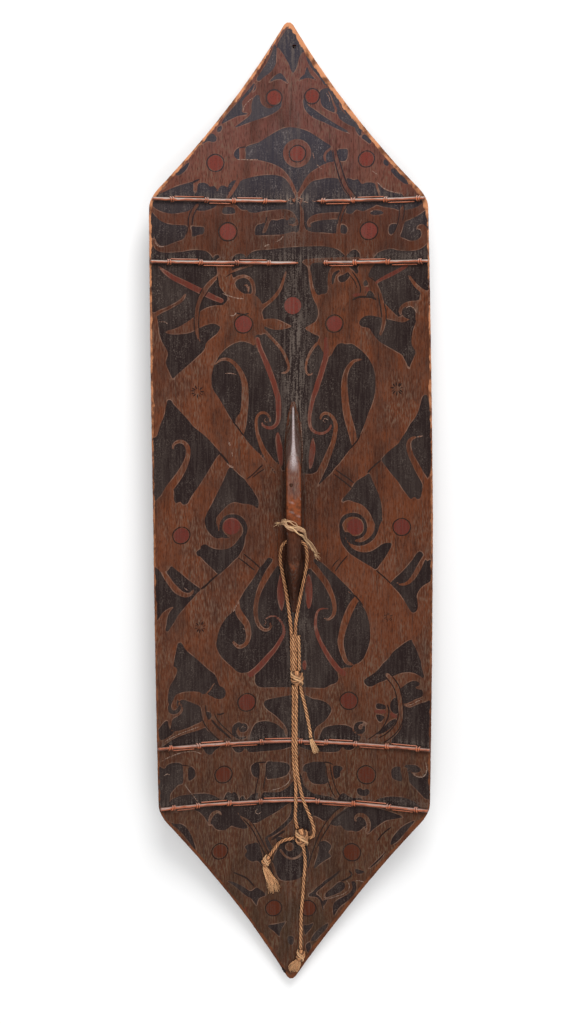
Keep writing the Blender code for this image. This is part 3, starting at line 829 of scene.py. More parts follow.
def wear_marks(r, colour):
    """Orange bare wood, painted shade and dark marks, a pale that is mostly painted highlight, and pale
    strokes, each where the mesh says so.
    """
    bare = r.times(r.value("orange"), r.step(r.noise(230, detail=4.0), 0.36, 0.62, 0.15, 1.0))
    colour = r.mix(bare, colour, GRIP_ORANGE)
    # Painted shade below the rods and round the grip, and the darker drawn lines and knot.
    soot = r.times(r.value("soot"), r.step(r.grain, 0.3, 0.7, 1.0, 0.6))
    colour = r.mix(soot, colour, SOOT_AND_SHADE)
    # The grip's pale: painted highlight on its crest and painted reflection on its upper flanks, with some
    # pale flecks of wear.
    worn = r.times(r.value("pale"), r.step(r.speck, 0.3, 0.6, 0.6, 1.0))
    colour = r.mix(worn, colour, GRIP_HIGHLIGHT_AND_WEAR)
    stroke = r.times(r.value("stroke"), r.step(r.speck, 0.38, 0.62, 0.05, 0.9))
    return r.mix(stroke, colour, PALE_STROKE)


def painted_wood():
    """Red-brown wood under worn black paint, with red discs and a bare rim."""
    r = wood_recipe()
    colour = wear_marks(r, bare_rim(r, painted_layers(r)))
    r.relief(r.scaled(r.step(r.edge, -0.5, 0.5), -0.6, r.plus(r.grain, r.streak)), WOOD_RELIEF)
    return r.finish(colour, "painted_wood")


def rattan():
    """Split cane: pale on its crest and upper side, partly wear and partly painted highlight, red-brown
    below, with painted shade.
    """
    r = Recipe("rattan_visual", 0.45)
    streak = r.noise(260, (0.08, 1.0, 1.0), 3.0)
    patch = r.noise(55, (0.6, 1.0, 1.0), 2.0)
    facing = r.facing_y()
    fresh = r.value("fresh")
    side = r.scaled(streak, 0.9, r.scaled(patch, 1.1, -1.0))
    # Pale where the cane faces the upper tip: worn cane and a painted highlight.
    worn = r.step(r.scaled(side, 1.7, facing), 0.18, 0.5)
    worn = r.times(worn, r.scaled(fresh, -0.55, 1.0))
    worn = r.times(worn, r.step(r.along_y(r.place), 0.0, -0.2, 1.0, 0.7))
    colour = r.mix(r.times(fresh, 0.85), CANE_BROWN, CANE_ORANGE)
    colour = r.mix(worn, colour, CANE_PALE)
    # Painted shade where the cane faces the lower tip.
    colour = r.mix(r.step(r.scaled(side, 2.0, facing), 0.0, -0.7, 0.0, 0.75), colour, SOOT_AND_SHADE)
    # Painted shade along the rod's flanks and the strip's edges.
    colour = r.mix(r.times(r.value("edge"), 0.8), colour, SOOT_AND_SHADE)
    colour = r.mix(r.step(streak, 0.62, 0.78, 0.0, 0.6), colour, WOOD_DARK)
    r.relief(streak, WOOD_RELIEF)
    return r.finish(colour, "rattan")


def plant_fibre(name, slot, light, shade):
    """Strands whose fibres run along them."""
    r = Recipe(name, 0.85)
    fibres = r.noise(2.6, where=r.vector("grain"), detail=4.0, roughness=0.7)
    colour = r.mix(r.step(fibres, 0.36, 0.66), shade, light)
    colour = r.mix(r.step(r.noise(90), 0.45, 0.75, 0.0, 0.4), colour, shade)
    bleached = r.times(r.value("pale"), r.step(fibres, 0.3, 0.6, 0.5, 1.0))
    colour = r.mix(bleached, colour, CORD_PALE)
    # Painted shade deep in the grooves between plies and towards a knot's middle.
    colour = r.mix(r.times(r.value("groove"), 0.85), colour, GROOVE_SHADE)
    r.relief(fibres, FIBRE_RELIEF)
    return r.finish(colour, slot)


# The cords and what is on them


def rod_lift(y):
    """How far a cord rises where it crosses the rods: a soft hump over each one."""
    lift = 0.0
    for number in BINDINGS:
        away = abs(y - binding_y(number)) / DRAPE_OVER_ROD
        if away < 1.0:
            lift = max(lift, (ROD_DIAMETER + CLEARANCE) * (1 - away * away) ** 2 * DRAPE_SLACK)
    return lift


def cord_line(route):
    line = smooth_line(route, CORD_STEP)
    points = []
    for x, y, height in line:
        rest = float(inner_z(x)) + CLEARANCE + CORD_DIAMETER / 2
        points.append((x, y, rest + max(height, 0.0) + rod_lift(y)))
    return np.array(points)


def floor_height(x, y):
    """The lowest that a fibre lies here, on the face or over a rod."""
    return float(inner_z(x)) + CLEARANCE + rod_lift(y)


def add_twisted_cord(shape, line, size=1.0, start=0.0, pitch=CORD_PITCH, core=None, reach=None, **values):
    """Plies wound round one another along a line, with painted shade towards its own middle or towards a
    core.
    """
    line = np.asarray(line, float)
    across, up = frames_along(line)
    run = run_along(line)
    if core is None:
        core, reach = line, (STRAND_OFFSET + STRAND_RADIUS) * size
    for ply in range(PLIES):
        turn = 2 * math.pi * (run / (pitch * size) + start + ply / PLIES)
        away = across * np.cos(turn)[:, None] + up * np.sin(turn)[:, None]
        strand = line + away * STRAND_OFFSET * size
        uneven = 1 + STRAND_UNEVENNESS * wave(run, ply + len(line), 7.0, 17.0)
        add_tube(shape, strand, STRAND_RADIUS * size * uneven, PLY_SIDES, core, reach, **values)


def make_cords(material, knots):
    """The eight cords, each along its route. The knots given to it are not used."""
    for number, (name, route) in enumerate(ROUTES.items()):
        line = cord_line(route)
        shape = Shape()
        pitch = CORD_PITCH * (1 + CORD_PITCH_SPREAD * math.sin(number * 2.1))
        pale = CORD_PALE_STEP * (number % 3)
        add_twisted_cord(shape, line, start=number * CORD_START_STEP, pitch=pitch, pale=pale)
        body = shape.make_for_node(name, material)


def lump_spot(stations, t):
    """Centre, half width, half height and direction of a lump at a share t of its length."""
    table = np.asarray(stations, float)
    run = run_along(table[:, :2])
    at = t * run[-1]
    x, y, half, height = (np.interp(at, run, column) for column in table.T)
    ahead = np.array([np.interp(at + 1, run, part) - np.interp(at - 1, run, part) for part in table.T[:2]])
    return x, y, half, height, ahead / np.linalg.norm(ahead)


def lump_point(stations, t, angle, inset):
    """A point round a lump, inside its surface by the inset. The angle is 0 to its right."""
    x, y, half, height, ahead = lump_spot(stations, t)
    wide = max(half - inset, 0.4)
    high = max(height - inset, 0.4)
    spot_x = x - ahead[1] * wide * math.cos(angle)
    spot_y = y + ahead[0] * wide * math.cos(angle)
    return spot_x, spot_y, floor_height(spot_x, spot_y) + height + high * math.sin(angle)


def lump_middle(stations, t):
    return lump_point(stations, t, math.pi / 2, BEYOND_MIDDLE)


def add_winding(shape, stations, places, inset, radius, **cord):
    """A cord laid round a lump, through places given as shares of its length and angles."""
    line = np.array([lump_point(stations, t, angle, inset) for t, angle in places])
    middle = [lump_middle(stations, t) for t, _ in places]
    reach = np.linalg.norm(line - middle, axis=1)[:, None] + radius
    # Painted shade towards the lump's middle.
    add_twisted_cord(shape, line, pitch=KNOT_PITCH, core=middle, reach=reach, **cord)


def make_knot(name, turns, size, slant, material):
    """A knot: cord wound round in slanting turns, with one turn crossing over them."""
    stations = LUMPS[name]
    radius = (STRAND_OFFSET + STRAND_RADIUS) * size
    shape = Shape()
    steps = turns * KNOT_STEPS
    places = []
    for i in range(steps + 1):
        share = i / steps
        angle = 2 * math.pi * turns * share
        t = 0.16 + 0.68 * share + slant * 0.5 * math.sin(angle)
        places.append((min(max(t, 0.02), 0.98), angle))
    add_winding(shape, stations, places, radius, radius, size=size, pale=0.1)
    places = []
    for i in range(CROSSING_STEPS + 1):
        share = i / CROSSING_STEPS
        places.append((0.95 - 0.9 * share, math.pi * (-0.1 + 1.2 * share)))
    add_winding(shape, stations, places, radius * 0.8, radius, size=size * 1.05, start=0.3, pale=0.5)
    core = [lump_middle(stations, i / CORE_STEPS) for i in range(CORE_STEPS + 1)]
    add_tube(shape, core, CORE_RADIUS * size, CORE_SIDES, pale=0.0)
    return shape.make_for_node(name, material)


def make_fray(name, count, seed, curl, thick, spread, pale, material):
    """A frayed end: loose fibres that spread from the knot inside the lump's outline."""
    stations = LUMPS[name]
    pick = random.Random(seed)
    radii = [thick * (1 - 0.5 * i / FRAY_STEPS) for i in range(FRAY_STEPS + 1)]
    shape = Shape()
    for number in range(count):
        way = 2 * math.pi * (number / count + 0.3 * pick.random() / count)
        out = math.sqrt(pick.random()) * 0.92
        reach = 0.64 + 0.36 * pick.random()
        bend = pick.uniform(-curl, curl)
        line = []
        for i in range(FRAY_STEPS + 1):
            t = reach * i / FRAY_STEPS
            x, y, half, height, ahead = lump_spot(stations, t)
            sway = out * math.cos(way) + bend * t * t * 2 + 0.06 * math.sin(9 * t + way * 3)
            wide = max(min(sway, 1.0), -1.0) * (half * (1 + (spread - 1) * t) - thick)
            spot_x = x - ahead[1] * wide
            spot_y = y + ahead[0] * wide
            lift = height * (1 + out * math.sin(way) * 0.8)
            line.append((spot_x, spot_y, floor_height(spot_x, spot_y) + max(lift, thick)))
        add_tube(shape, line, radii, FIBRE_SIDES, pale=pale * pick.uniform(0.2, 1.0))
    return shape.make_for_node(name, material)


def make_knots(material):
    """The knots and frayed ends by name."""
    found = {name: make_knot(name, *knot, material) for name, knot in KNOTS.items()}
    for name, fray in FRAYS.items():
        found[name] = make_fray(name, *fray, material)
    return found


def lashing_stations():
    """The bundle's middle, the direction across it, its half width and its swaps, from end to end."""
    side = GRIP_WIDTH / 2 + CLEARANCE + LASHING_HALF_THICKNESS
    top = CENTRE_THICKNESS + FINGER_GAP_HEIGHT + GRIP_THICKNESS + 2 * CLEARANCE + LASHING_HALF_THICKNESS
    found = []
    for sign, out, along, down, across, share, swapped in LASHING_STATIONS:
        centre = np.array((GRIP_X + sign * (side + out), LASHING_Y + along, top - down))
        unit = np.array(across) / np.linalg.norm(across)
        found.append((centre, unit, share * LASHING_HALF_WIDTH, swapped))
    return found


def add_lashing_yarn(shape, pick, number, stations):
    """A loose yarn that runs along the bundle, changes places in it and thins to both ends."""
    place = 2.0 * number / (LASHING_YARNS - 1) - 1.0
    spots = []
    for centre, unit, half, swapped in stations:
        if swapped:
            place = 0.5 * place + pick.choice((-0.5, 0.5))
        drift = half * (place + pick.uniform(-0.16, 0.16))
        spots.append(centre + unit * drift + np.array((0.0, 0.0, pick.uniform(-0.2, 1.3))))
    line = smooth_line(spots, LASHING_STEP)
    first = int(pick.uniform(0, 5))
    line = line[first: int(len(line) * (1.0 - 0.22 * pick.random()))]
    thick = 0.62 + 0.36 * pick.random()
    radii = thick * (1 + 0.22 * wave(np.arange(len(line)), number, 9.0, 23.0))
    radii[-4:] *= (0.9, 0.75, 0.55, 0.35)
    radii[:3] *= (0.4, 0.65, 0.85)
    add_tube(shape, line, radii, YARN_SIDES, pale=max(0.0, 1.3 * pick.random() - 0.4))


def add_lashing_hair(shape, pick, end, inward):
    """A short hair that stands out near an end of the bundle."""
    start = end + inward * pick.uniform(0.2, 0.7) + [pick.uniform(-1.5, 1.5) for _ in range(3)]
    away = -inward / np.linalg.norm(inward) + [pick.uniform(-0.7, 0.7), pick.uniform(-0.7, 0.7), 0.0]
    hair = [start + away * 1.2 * k + np.array((0.0, 0.0, 0.1 * k)) for k in range(HAIR_POINTS)]
    add_tube(shape, hair, [0.3 - 0.03 * k for k in range(HAIR_POINTS)], FIBRE_SIDES, pale=0.8)


def make_lashing(material):
    """Pale untwisted yarns over the grip in one ragged bundle, with loose hairs at both ends."""
    pick = random.Random(21)
    stations = lashing_stations()
    left, after_left, before_right, right = (stations[i][0] for i in (0, 1, -2, -1))
    shape = Shape()
    for number in range(LASHING_YARNS):
        add_lashing_yarn(shape, pick, number, stations)
    for number in range(LASHING_HAIRS):
        if number % 2:
            add_lashing_hair(shape, pick, left, after_left - left)
        else:
            add_lashing_hair(shape, pick, right, before_right - right)
    shape.make_for_node("grip_lashing", material)


# Rattan


def rod_axis(x, number, drop):
    """The centre of a rod where it passes this x, and the board's own normal there."""
    slope = float(inner_z(x + 1.0) - inner_z(x - 1.0)) / 2
    up = Vector((-slope, 0.0, 1.0)).normalized()
    y = binding_y(number) + drop * x / (2 * BOARD_HALF_WIDTH)
    return Vector((x, y, float(inner_z(x)))) + up * (CLEARANCE + ROD_DIAMETER / 2), up


def make_rod(name, number, drop, ends, material):
    """A rod from rim to rim, or from a rim to the ragged end where it broke."""
    y = binding_y(number)
    span = []
    for share in ends:
        reach = float(lean(y)) + math.copysign(float(half_width(y)) - ROD_END_MARGIN, share)
        span.append(reach if abs(share) == 1.0 else share * BOARD_HALF_WIDTH)
    start, end = span
    steps = round((end - start) / ROD_STEP)
    xs = np.linspace(start, end, steps + 1)
    thick = ROD_DIAMETER / 2 * (1 + ROD_UNEVENNESS * wave(xs, number * 7, 31.0, 83.0, 13.0))
    points, grain, fresh, edge = [], [], [], []
    broken = [abs(share) != 1.0 for share in ends]
    for i, x in enumerate(xs):
        centre, up = rod_axis(float(x), number, drop)
        from_break = min(i if broken[0] else steps, (steps - i) if broken[1] else steps)
        ragged = from_break < len(BREAK_SHARES)
        worn = BREAK_SHARES[from_break] if ragged else 1.0
        for k, angle in enumerate(round_angles(ROD_SIDES)):
            out = math.cos(angle) * Vector((0, 1, 0)) + math.sin(angle) * up
            flat = 0.93 - 0.05 * (math.cos(angle * 5 + number) + 1) / 2
            jag = BREAK_JAG * math.sin(k * 2.3 + number) if from_break == 0 else 0.0
            points.append(centre + out * float(thick[i]) * flat * worn + Vector((jag, 0, 0)))
            grain.append((math.cos(angle), math.sin(angle), x * GRAIN_RUN))
            fresh.append(0.5 if ragged else 0.0)
            # Painted shade on the rod's two flanks.
            edge.append(max(0.0, (abs(math.cos(angle)) - 0.8) * 5))
    shape = Shape()
    shape.add(points, ring_faces(steps + 1, ROD_SIDES), grain=grain, fresh=fresh, edge=edge)
    shape.make_for_node("rattan_rod_" + name, material)


def strip_point(x, side_angle, number, drop, extra=0.0):
    """A point round the rod: 0 degrees is above it on the board, 90 on its crest."""
    centre, up = rod_axis(x, number, drop)
    reach = ROD_DIAMETER / 2 + STRIP_DIAMETER / 2 * STRIP_SUNK + extra
    angle = math.radians(side_angle)
    return centre + reach * (math.cos(angle) * Vector((0, 1, 0)) + math.sin(angle) * up)


def add_band(shape, line, ups, half, thick, **values):
    """A flat strip of cane along a line, rounded on its upper side."""
    line = np.asarray(line, float)
    ahead = np.gradient(line, axis=0)
    points = []
    for i, spot in enumerate(line):
        up = np.asarray(ups[i], float)
        side = np.cross(ahead[i], up)
        side = side / np.linalg.norm(side)
        for across, height in BAND_SECTION:
            points.append(spot + side * half * across + up * thick * height)
    # Painted shade along the strip's two edges.
    edge = [0.0 if abs(across) < 1 else 0.7 for across, _ in BAND_SECTION] * len(line)
    shape.add(points, ring_faces(len(line), len(BAND_SECTION)), edge=edge, **values)


def add_tie_turn(shape, x, slant, number, drop, fresh):
    """One turn over the rod, from the face above it to the face below it."""
    line, ups = [], []
    for k in range(TIE_STEPS + 1):
        place = x + slant * (k / TIE_STEPS - 0.5) * 2
        centre, _ = rod_axis(place, number, drop)
        spot = strip_point(place, TIE_FIRST_ANGLE + TIE_SWEEP * k / TIE_STEPS, number, drop)
        line.append(spot)
        ups.append((spot - Vector((spot.x, centre.y, centre.z))).normalized())
    add_band(shape, line, ups, 1.0, 0.5, fresh=fresh)


def add_side_run(shape, start, end, side, number, drop, fresh):
    """The strip where it lies beside the rod, from one tie to the next."""
    steps = max(round((end - start) / SIDE_RUN_STEP), 2)
    angle = SIDE_RUN_ANGLES[0] if side > 0 else SIDE_RUN_ANGLES[1]
    line, ups = [], []
    for k in range(steps + 1):
        share = k / steps
        place = start + (end - start) * share
        _, up = rod_axis(place, number, drop)
        lift = 0.25 * math.sin(math.pi * share) + 0.35
        line.append(strip_point(place, angle, number, drop, STRIP_GAP) + up * lift)
        ups.append(up)
    add_band(shape, line, ups, 0.85, 0.7, fresh=fresh)


def make_strip(name, number, drop, ties, first_side, material):
    """The strip crosses the rod in two turns at each tie and lies beside it between two ties."""
    shape = Shape()
    pick = random.Random(name)
    side = first_side
    tie_xs = [share * BOARD_HALF_WIDTH for share in ties]
    for i, x in enumerate(tie_xs):
        for turn in TIE_TURNS[i % 2]:
            slant = pick.uniform(-0.9, 0.9) + 0.5 * side
            add_tie_turn(shape, x + turn, slant, number, drop, 0.35 + 0.5 * pick.random())
        if i < len(tie_xs) - 1:
            start = x + TIE_REACH + 3.0 * pick.random()
            end = tie_xs[i + 1] - TIE_REACH - 3.0 * pick.random()
            add_side_run(shape, start, end, side, number, drop, 0.6 + 0.4 * pick.random())
        if abs(x) > OUTER_TIES_FROM:
            add_outer_tie(shape, x, number, drop)
        side = -side
    shape.make_for_node("rattan_strip_" + name, material)


def add_outer_tie(shape, x, number, drop):
    """The short leg of a tie that shows on the outer face."""
    y = binding_y(number) + drop * x / (2 * BOARD_HALF_WIDTH)
    slope = float(outer_z(x + 1.0) - outer_z(x - 1.0)) / 2
    down = Vector((slope, 0.0, -1.0)).normalized()
    line = []
    for k in range(OUTER_TIE_STEPS + 1):
        share = k / OUTER_TIE_STEPS * 2 - 1
        sunk = down * (0.9 - 1.5 * share**4)
        line.append(Vector((x, y + OUTER_TIE_HALF_LENGTH * share, float(outer_z(x)))) + sunk)
    add_band(shape, line, [down] * len(line), 1.2, 0.7, fresh=0.3)


def make_bindings(material):
    """The six rods and the strip of each."""
    for name, (number, drop, ends, ties, first_side) in RODS.items():
        make_rod(name, number, drop, ends, material)
        make_strip(name, number, drop, ties, first_side, material)


# The painting
# Each shape is a word and then its numbers, in the order in which it is laid:
# black, wood, leaf: a smooth closed outline of x, y pairs
# black line, wood line, leg: x, y and width at each point
# disc: x, y and radius of the red disc, then the radius of the thin ring round it, 0 for none
# dark, light: width and then x, y pairs of a thin drawn line
# sun: x, y and radius of a small sun
PAINTING = (
    # Pale traces in the gap of the first binding
    ("light", 1.9, -6, 399.5, -3, 401, -1.3, 402.6, 1, 404.5),
    ("light", 1.5, -2, 397.5, 0.2, 396.4, 3, 397),
    ("light", 1.6, 6.4, 403.9, 9, 404.4, 12.8, 403.1, 16, 402.5),
    ("light", 1.8, 16, 399.4, 19, 398.6, 21.7, 397.9),
    ("light", 1.2, 8, 400, 11, 398.2, 12, 394),
    ("light", 1.3, 27, 400.4, 30, 399, 33, 399.6),
    # Beside the grip's upper ramp: dark lines that are painted shadow along its foot, and a pale line
    ("dark", 1.4, -8.6, 64, -9.2, 84, -7.4, 104, -4.2, 124, -1.4, 140),
    ("dark", 1.4, 11.6, 64, 11.8, 84, 10.8, 104, 9.6, 124, 7.6, 146),
    ("light", 1.2, 13.4, 66, 13.2, 84, 12.2, 104, 10.8, 118),
    # The splinter at the lower tip
    ("dark", 2.6, -17, -609, -14.5, -613, -12, -617),
    # The upper end, from the tip to the first binding
    ("black", -4, 617, 3, 615, 8, 610, 12, 602, 17, 594, 19, 590, 14, 586, 11, 580, 9, 572, 6, 565, 3,
     562, 0, 567, -2, 573, -6, 580, -8, 584, -11, 588, -14, 592, -17, 596, -12, 606, -7, 613),
    ("black", -20, 597, -17.5, 592, -18, 581, -19, 572, -25, 563, -33, 557, -40, 551, -43, 554, -38, 562,
     -30, 574, -25, 584),
    ("black", 20, 588, 26, 580, 31, 570, 38, 562, 43, 554, 47, 546, 43, 546, 39, 552, 33, 560, 27, 567,
     22, 575, 20, 582),
    ("black", -27, 550, -20, 558, -13, 561.5, -8, 557, -3, 549, -8, 551.5, -13, 554, -20, 553),
    ("black", 10, 552, 14, 557, 18, 560, 20, 567, 22, 569, 24, 562, 28, 557, 33, 552, 26, 554.5, 20, 555),
    ("black", -48, 528, -44, 533, -40, 533, -38, 524, -33, 519, -27, 517, -22, 519, -16, 522, -11.5, 527,
     -12, 520, -16, 515, -22, 511, -33, 506, -50, 500, -71, 492, -63, 499, -55, 505, -50, 511, -50, 519),
    ("disc", -21, 530.5, 8.5, 10.2),
    ("black", -46, 549, -44, 545, -45, 540, -52, 535, -58, 530, -62, 524, -61, 518, -62, 512, -55, 510,
     -57, 508, -66, 507, -75, 503, -84, 498, -88, 496, -86, 501, -80, 509, -74, 516, -68, 523, -63, 529,
     -57, 536, -51, 543),
    ("wood line", -46, 548, 1, -47, 541, 1.5, -54, 532, 1.8, -60, 523, 1.8, -60, 513, 1.5),
    ("light", 1, -47, 531, -53, 526, -59, 519, -60, 513),
    ("black", -90, 494, -87, 491, -91, 485, -94, 489),
    ("black", -100, 484, -94, 478, -97, 473, -106, 474, -113, 469, -108, 476),
    ("black line", 18, 527, 4, 20, 519, 6, 27, 512, 9, 36, 506, 8, 45, 501, 6, 55, 495, 5, 64, 490, 4, 72,
     486, 2.5),
    ("disc", 27.5, 532, 8, 9.7),
    ("black", 37, 537, 42, 541, 50, 541, 56, 534, 62, 528, 68, 518, 74, 510, 82, 504, 88, 492, 80, 492,
     70, 497, 62, 503, 60, 508, 52, 512, 46, 515, 40, 520, 38, 528),
    ("wood line", 48, 538, 1, 52, 530, 1.5, 55, 521, 2.5, 58, 513, 3, 53, 505, 2),
    ("wood line", 62, 526, 1, 63, 518, 1.5, 70, 508, 1),
    ("black", 82, 489, 88, 480, 90, 488, 86, 492),
    ("black", 94, 482, 102, 474, 100, 470, 95, 474, 90, 478),
    ("light", 1.4, 28, 508, 28.5, 504),
    ("light", 1.6, 71, 485.5, 75, 483.5),
    ("light", 1.0, 45, 536, 49, 530, 50, 524),
    ("black", -58, 467, -53, 470, -47, 472, -40, 474.5, -30, 481, -20, 487, -10, 492, 0, 493.5, 10, 492,
     22, 488, 32, 482, 42, 475, 50, 470, 54, 466, 57, 460, 57, 452, 57, 449, 50, 448.5, 45, 447, 38, 444,
     33, 441, 25, 436, 18, 428, 12, 417, 9, 411, 7, 412, 3, 422, -3, 432, -10, 440, -20, 446, -33, 450,
     -45, 452, -57, 452, -57.5, 460),
    ("wood line", 8, 460.5, 36, 8.1, 460.5, 36),
    ("disc", 8.5, 460, 9, 10.6),
    ("wood line", 44, 451, 3, 43, 456, 3, 45, 461, 3, 49, 464, 3, 53, 467, 3),
    ("light", 1.1, 33, 446, 37, 442, 40, 440),
    ("light", 1.0, 28, 461, 30, 453),
    ("black", -66, 466, -69, 465, -72, 461, -72.5, 457, -70, 453.5, -66, 452),
    ("dark", 1.2, -67, 466, -62, 467.5, -57, 468),
    ("light", 1.4, -68, 452, -55, 452, -42, 452.5),
    ("black", 60, 464, 66, 464.5, 72, 464, 72.5, 457, 70, 450, 63, 450, 61, 457),
    ("black", -64, 425, -57, 428, -50, 430, -40, 432, -30, 433, -20, 433, -10, 430, -3, 423, 2, 413, 4,
     403, -20, 400, -60, 400, -80, 400, -77, 406, -70, 415),
    ("black", -118, 420, -112, 422, -106, 420, -103, 417, -98, 418, -95, 414, -94, 408, -92, 401, -120,
     401, -119, 412),
    ("black", -93, 411, -91, 417, -86, 419, -82, 416, -81, 411, -79, 402, -93, 401),
    ("black", -80, 418, -76, 424, -70, 426, -73, 420, -77, 413, -81, 408),
    ("wood line", -66, 428, 4, -70, 420, 4, -75, 411, 4, -81, 403, 4),
    ("dark", 1.8, -128, 418, -124, 422, -116, 426),
    ("black", -160, 409, -150, 414, -140, 418, -130, 421, -124.5, 422, -124, 412, -124, 400, -168, 400,
     -168, 405),
    ("disc", -96, 447, 9.5, 10.85),
    ("disc", 96, 451, 8.5, 10.2),
    ("black", 11, 403, 14, 409, 18, 415, 22, 420, 28, 425, 38, 427, 48, 428.5, 60, 427.5, 62, 424, 66,
     415, 71, 407, 75, 400, 11, 399),
    ("black", 70, 427, 75, 427, 80, 425, 85, 426, 88, 422, 91, 419.5, 94, 421, 100, 421.5, 106, 420, 108,
     414, 110, 401, 84, 401, 80, 407, 74, 417),
    ("black", 108, 422, 112, 418, 117, 413, 122, 410, 130, 407.5, 140, 405.5, 140, 400, 114, 400, 113,
     408, 111, 415),
    ("wood line", 55, 466, 6, 58, 452, 7, 62, 440, 7, 66, 428, 7, 71, 416, 7, 79, 404, 7),
    ("dark", 1.3, 53.5, 464, 55.5, 452, 58.5, 440, 62, 428, 67, 416, 75, 404),
    ("dark", 1.3, 58.5, 464, 61.5, 452, 65, 440, 68, 430, 73, 418, 83, 404),
    ("light", 1.0, 103, 436, 107, 433, 110, 431),
    ("light", 1.0, 109, 422, 117, 414, 128, 409, 138, 406),
    ("black", 130, 438, 135, 434, 142, 427, 148, 421, 150, 418, 144, 418, 136, 424, 130, 430, 126, 436),
    ("black", 119, 450, 124, 445, 122, 441, 117, 445),
    ("black", -128, 448, -134, 443, -140, 437, -146, 431, -142, 430, -136, 434, -131, 440),
    ("black", -152, 421, -158, 415, -163, 411, -156, 417),
    # Between the first and the second binding
    ("black", -176, 400, -174, 391, -166, 385.5, -158, 383, -150, 382, -140, 383.5, -130, 386, -124, 392,
     -118, 400),
    ("black", -113, 400, -118, 391, -120, 387, -112, 386.5, -105, 388, -98, 391, -94, 394.5, -88, 400),
    ("dark", 1.2, -119, 398, -126, 388, -130, 378, -131, 366, -133, 356),
    ("dark", 1.2, -113, 398, -120, 388, -124, 380, -126, 368),
    ("black", -177, 383, -172, 379.5, -165, 373, -155, 369, -144, 368, -133, 367.5, -132.5, 362, -134,
     356, -137, 350.5, -145, 347.5, -152, 344.5, -158, 342, -165, 341.5, -169, 345, -172, 351, -177, 354),
    ("light", 1.0, -173, 353, -171, 345, -167, 340.5, -159, 341),
    ("black", -177, 352, -175, 345, -172, 337.5, -166, 334, -158, 333, -148, 333.5, -138, 334.5, -128,
     336.5, -118, 337, -110, 336, -105, 333, -102, 329, -101, 320, -178, 320),
    ("black", -127, 367, -122, 366.5, -112, 366, -110.5, 362, -112, 357.5, -118, 356, -125.5, 353.5, -126,
     360),
    ("disc", -81, 360.5, 10, 11.7),
    ("black", -88, 387, -86, 391, -80, 392, -74, 391, -71.5, 387.5, -72, 384, -80, 383, -87, 383.5),
    ("black", -70, 400, -68, 393, -63, 388.5, -57, 388.5, -53, 385.5, -45, 385, -36, 387, -28, 388, -20,
     389, -10, 389.5, -4, 389, 2, 386, 6, 381, 9, 374, 9, 367, 6, 362.5, 2, 361, 8, 360, 11, 366, 11, 380,
     10.5, 400),
    ("black", -26, 375.5, -18, 375.5, -10, 377.5, -5, 375, -3, 370, 2, 367.5, 6, 369, 9, 366, 6, 362.5, 0,
     360.5, -6, 359, -12, 357.5, -22, 357, -34, 356.5, -45, 356.5, -46, 359, -38, 359.5, -33, 360, -30,
     366),
    ("black", -46, 357, -46, 365, -43.5, 369.5, -38, 371, -33, 372.5, -36, 364, -39, 358),
    ("black line", 1, 375, 9, 1.1, 375, 9),
    ("dark", 1.2, -31, 380, -33, 372),
    ("wood line", 13.5, 400, 4.5, 13.5, 385, 5, 14, 370, 6, 14, 360, 9),
    ("dark", 1.1, 10.5, 396, 11, 384, 10.5, 372, 9, 364),
    ("dark", 1.1, 16.5, 396, 17, 384, 17.5, 370, 20, 363),
    ("light", 1.6, -35, 342, -28, 345),
    ("light", 1.6, -20, 348, -14, 351, -10, 355.5),
    ("light", 1.6, -11, 381, -9, 379),
    ("black", -58, 320, -57, 328, -53, 333, -48, 336, -40, 337.5, -25, 338.5, -10, 340.5, 5, 341.5, 20,
     342, 40, 342, 50, 340.5, 57, 338.5, 63, 335, 67, 331, 70, 329.5, 73, 332, 77, 336, 82, 337, 86,
     333.5, 88, 328, 88, 320),
    ("black", -76, 320, -74.5, 328, -70, 332, -64, 333, -60, 331, -58.5, 327, -59, 320),
    ("black", -100.5, 320, -99.5, 327, -97, 330.5, -93.5, 331, -91, 328, -91, 320),
    ("black", 17, 400, 17, 385, 17, 372, 19, 364, 27, 360.5, 40, 359.5, 55, 358, 59, 358, 60, 370, 63,
     380, 66, 386, 73, 400),
    ("wood line", 64, 380, 9, 55, 380.5, 9, 45, 380, 9, 35, 379, 9, 27, 376.5, 8, 22.5, 372.5, 5, 22.5,
     368.5, 3.5, 25, 366.5, 2),
    ("wood line", 70, 396, 5, 66, 388, 5, 63, 378, 5, 61, 368, 5, 60, 357, 5),
    ("black", 64, 369, 68, 368.5, 71, 366, 72, 362, 70, 357.5, 65, 358, 63, 360),
    ("dark", 1.3, 68, 397, 64, 387, 60.5, 378, 59, 370),
    ("dark", 1.1, 73, 396, 69, 388, 65.5, 380, 63.5, 371),
    ("black", 76, 400, 71, 389, 69.5, 385, 72, 383, 77, 382.5, 80, 385, 83, 388, 86, 387, 92, 385.5, 98,
     388, 104, 390.5, 108, 393, 113, 400),
    ("black", 100, 383, 104, 386, 110, 386, 116, 384.5, 117, 382, 112, 380.5, 104, 380.5),
    ("light", 2.2, 101, 384, 104, 386),
    ("disc", 99, 360.5, 10, 11.25),
    ("light", 1.4, 88, 371, 90, 375),
    ("black", 86, 400, 105, 394.5, 117, 390.5, 130, 388, 137, 386, 139, 400),
    ("black", 143, 400, 143, 386, 148, 386, 155, 387.5, 162, 391, 171, 400),
    ("dark", 1.1, 136.5, 396, 137, 385, 136, 374, 133, 364, 129, 356),
    ("dark", 1.1, 142, 396, 143, 384, 141, 372),
    ("black", 125, 367, 130, 368.5, 134, 368, 132, 362, 128, 355.5, 125, 355.5, 123.5, 360),
    ("black", 175, 391, 171, 386, 165, 381, 158, 377, 150, 373, 144, 370.5, 142, 365, 140, 358, 138,
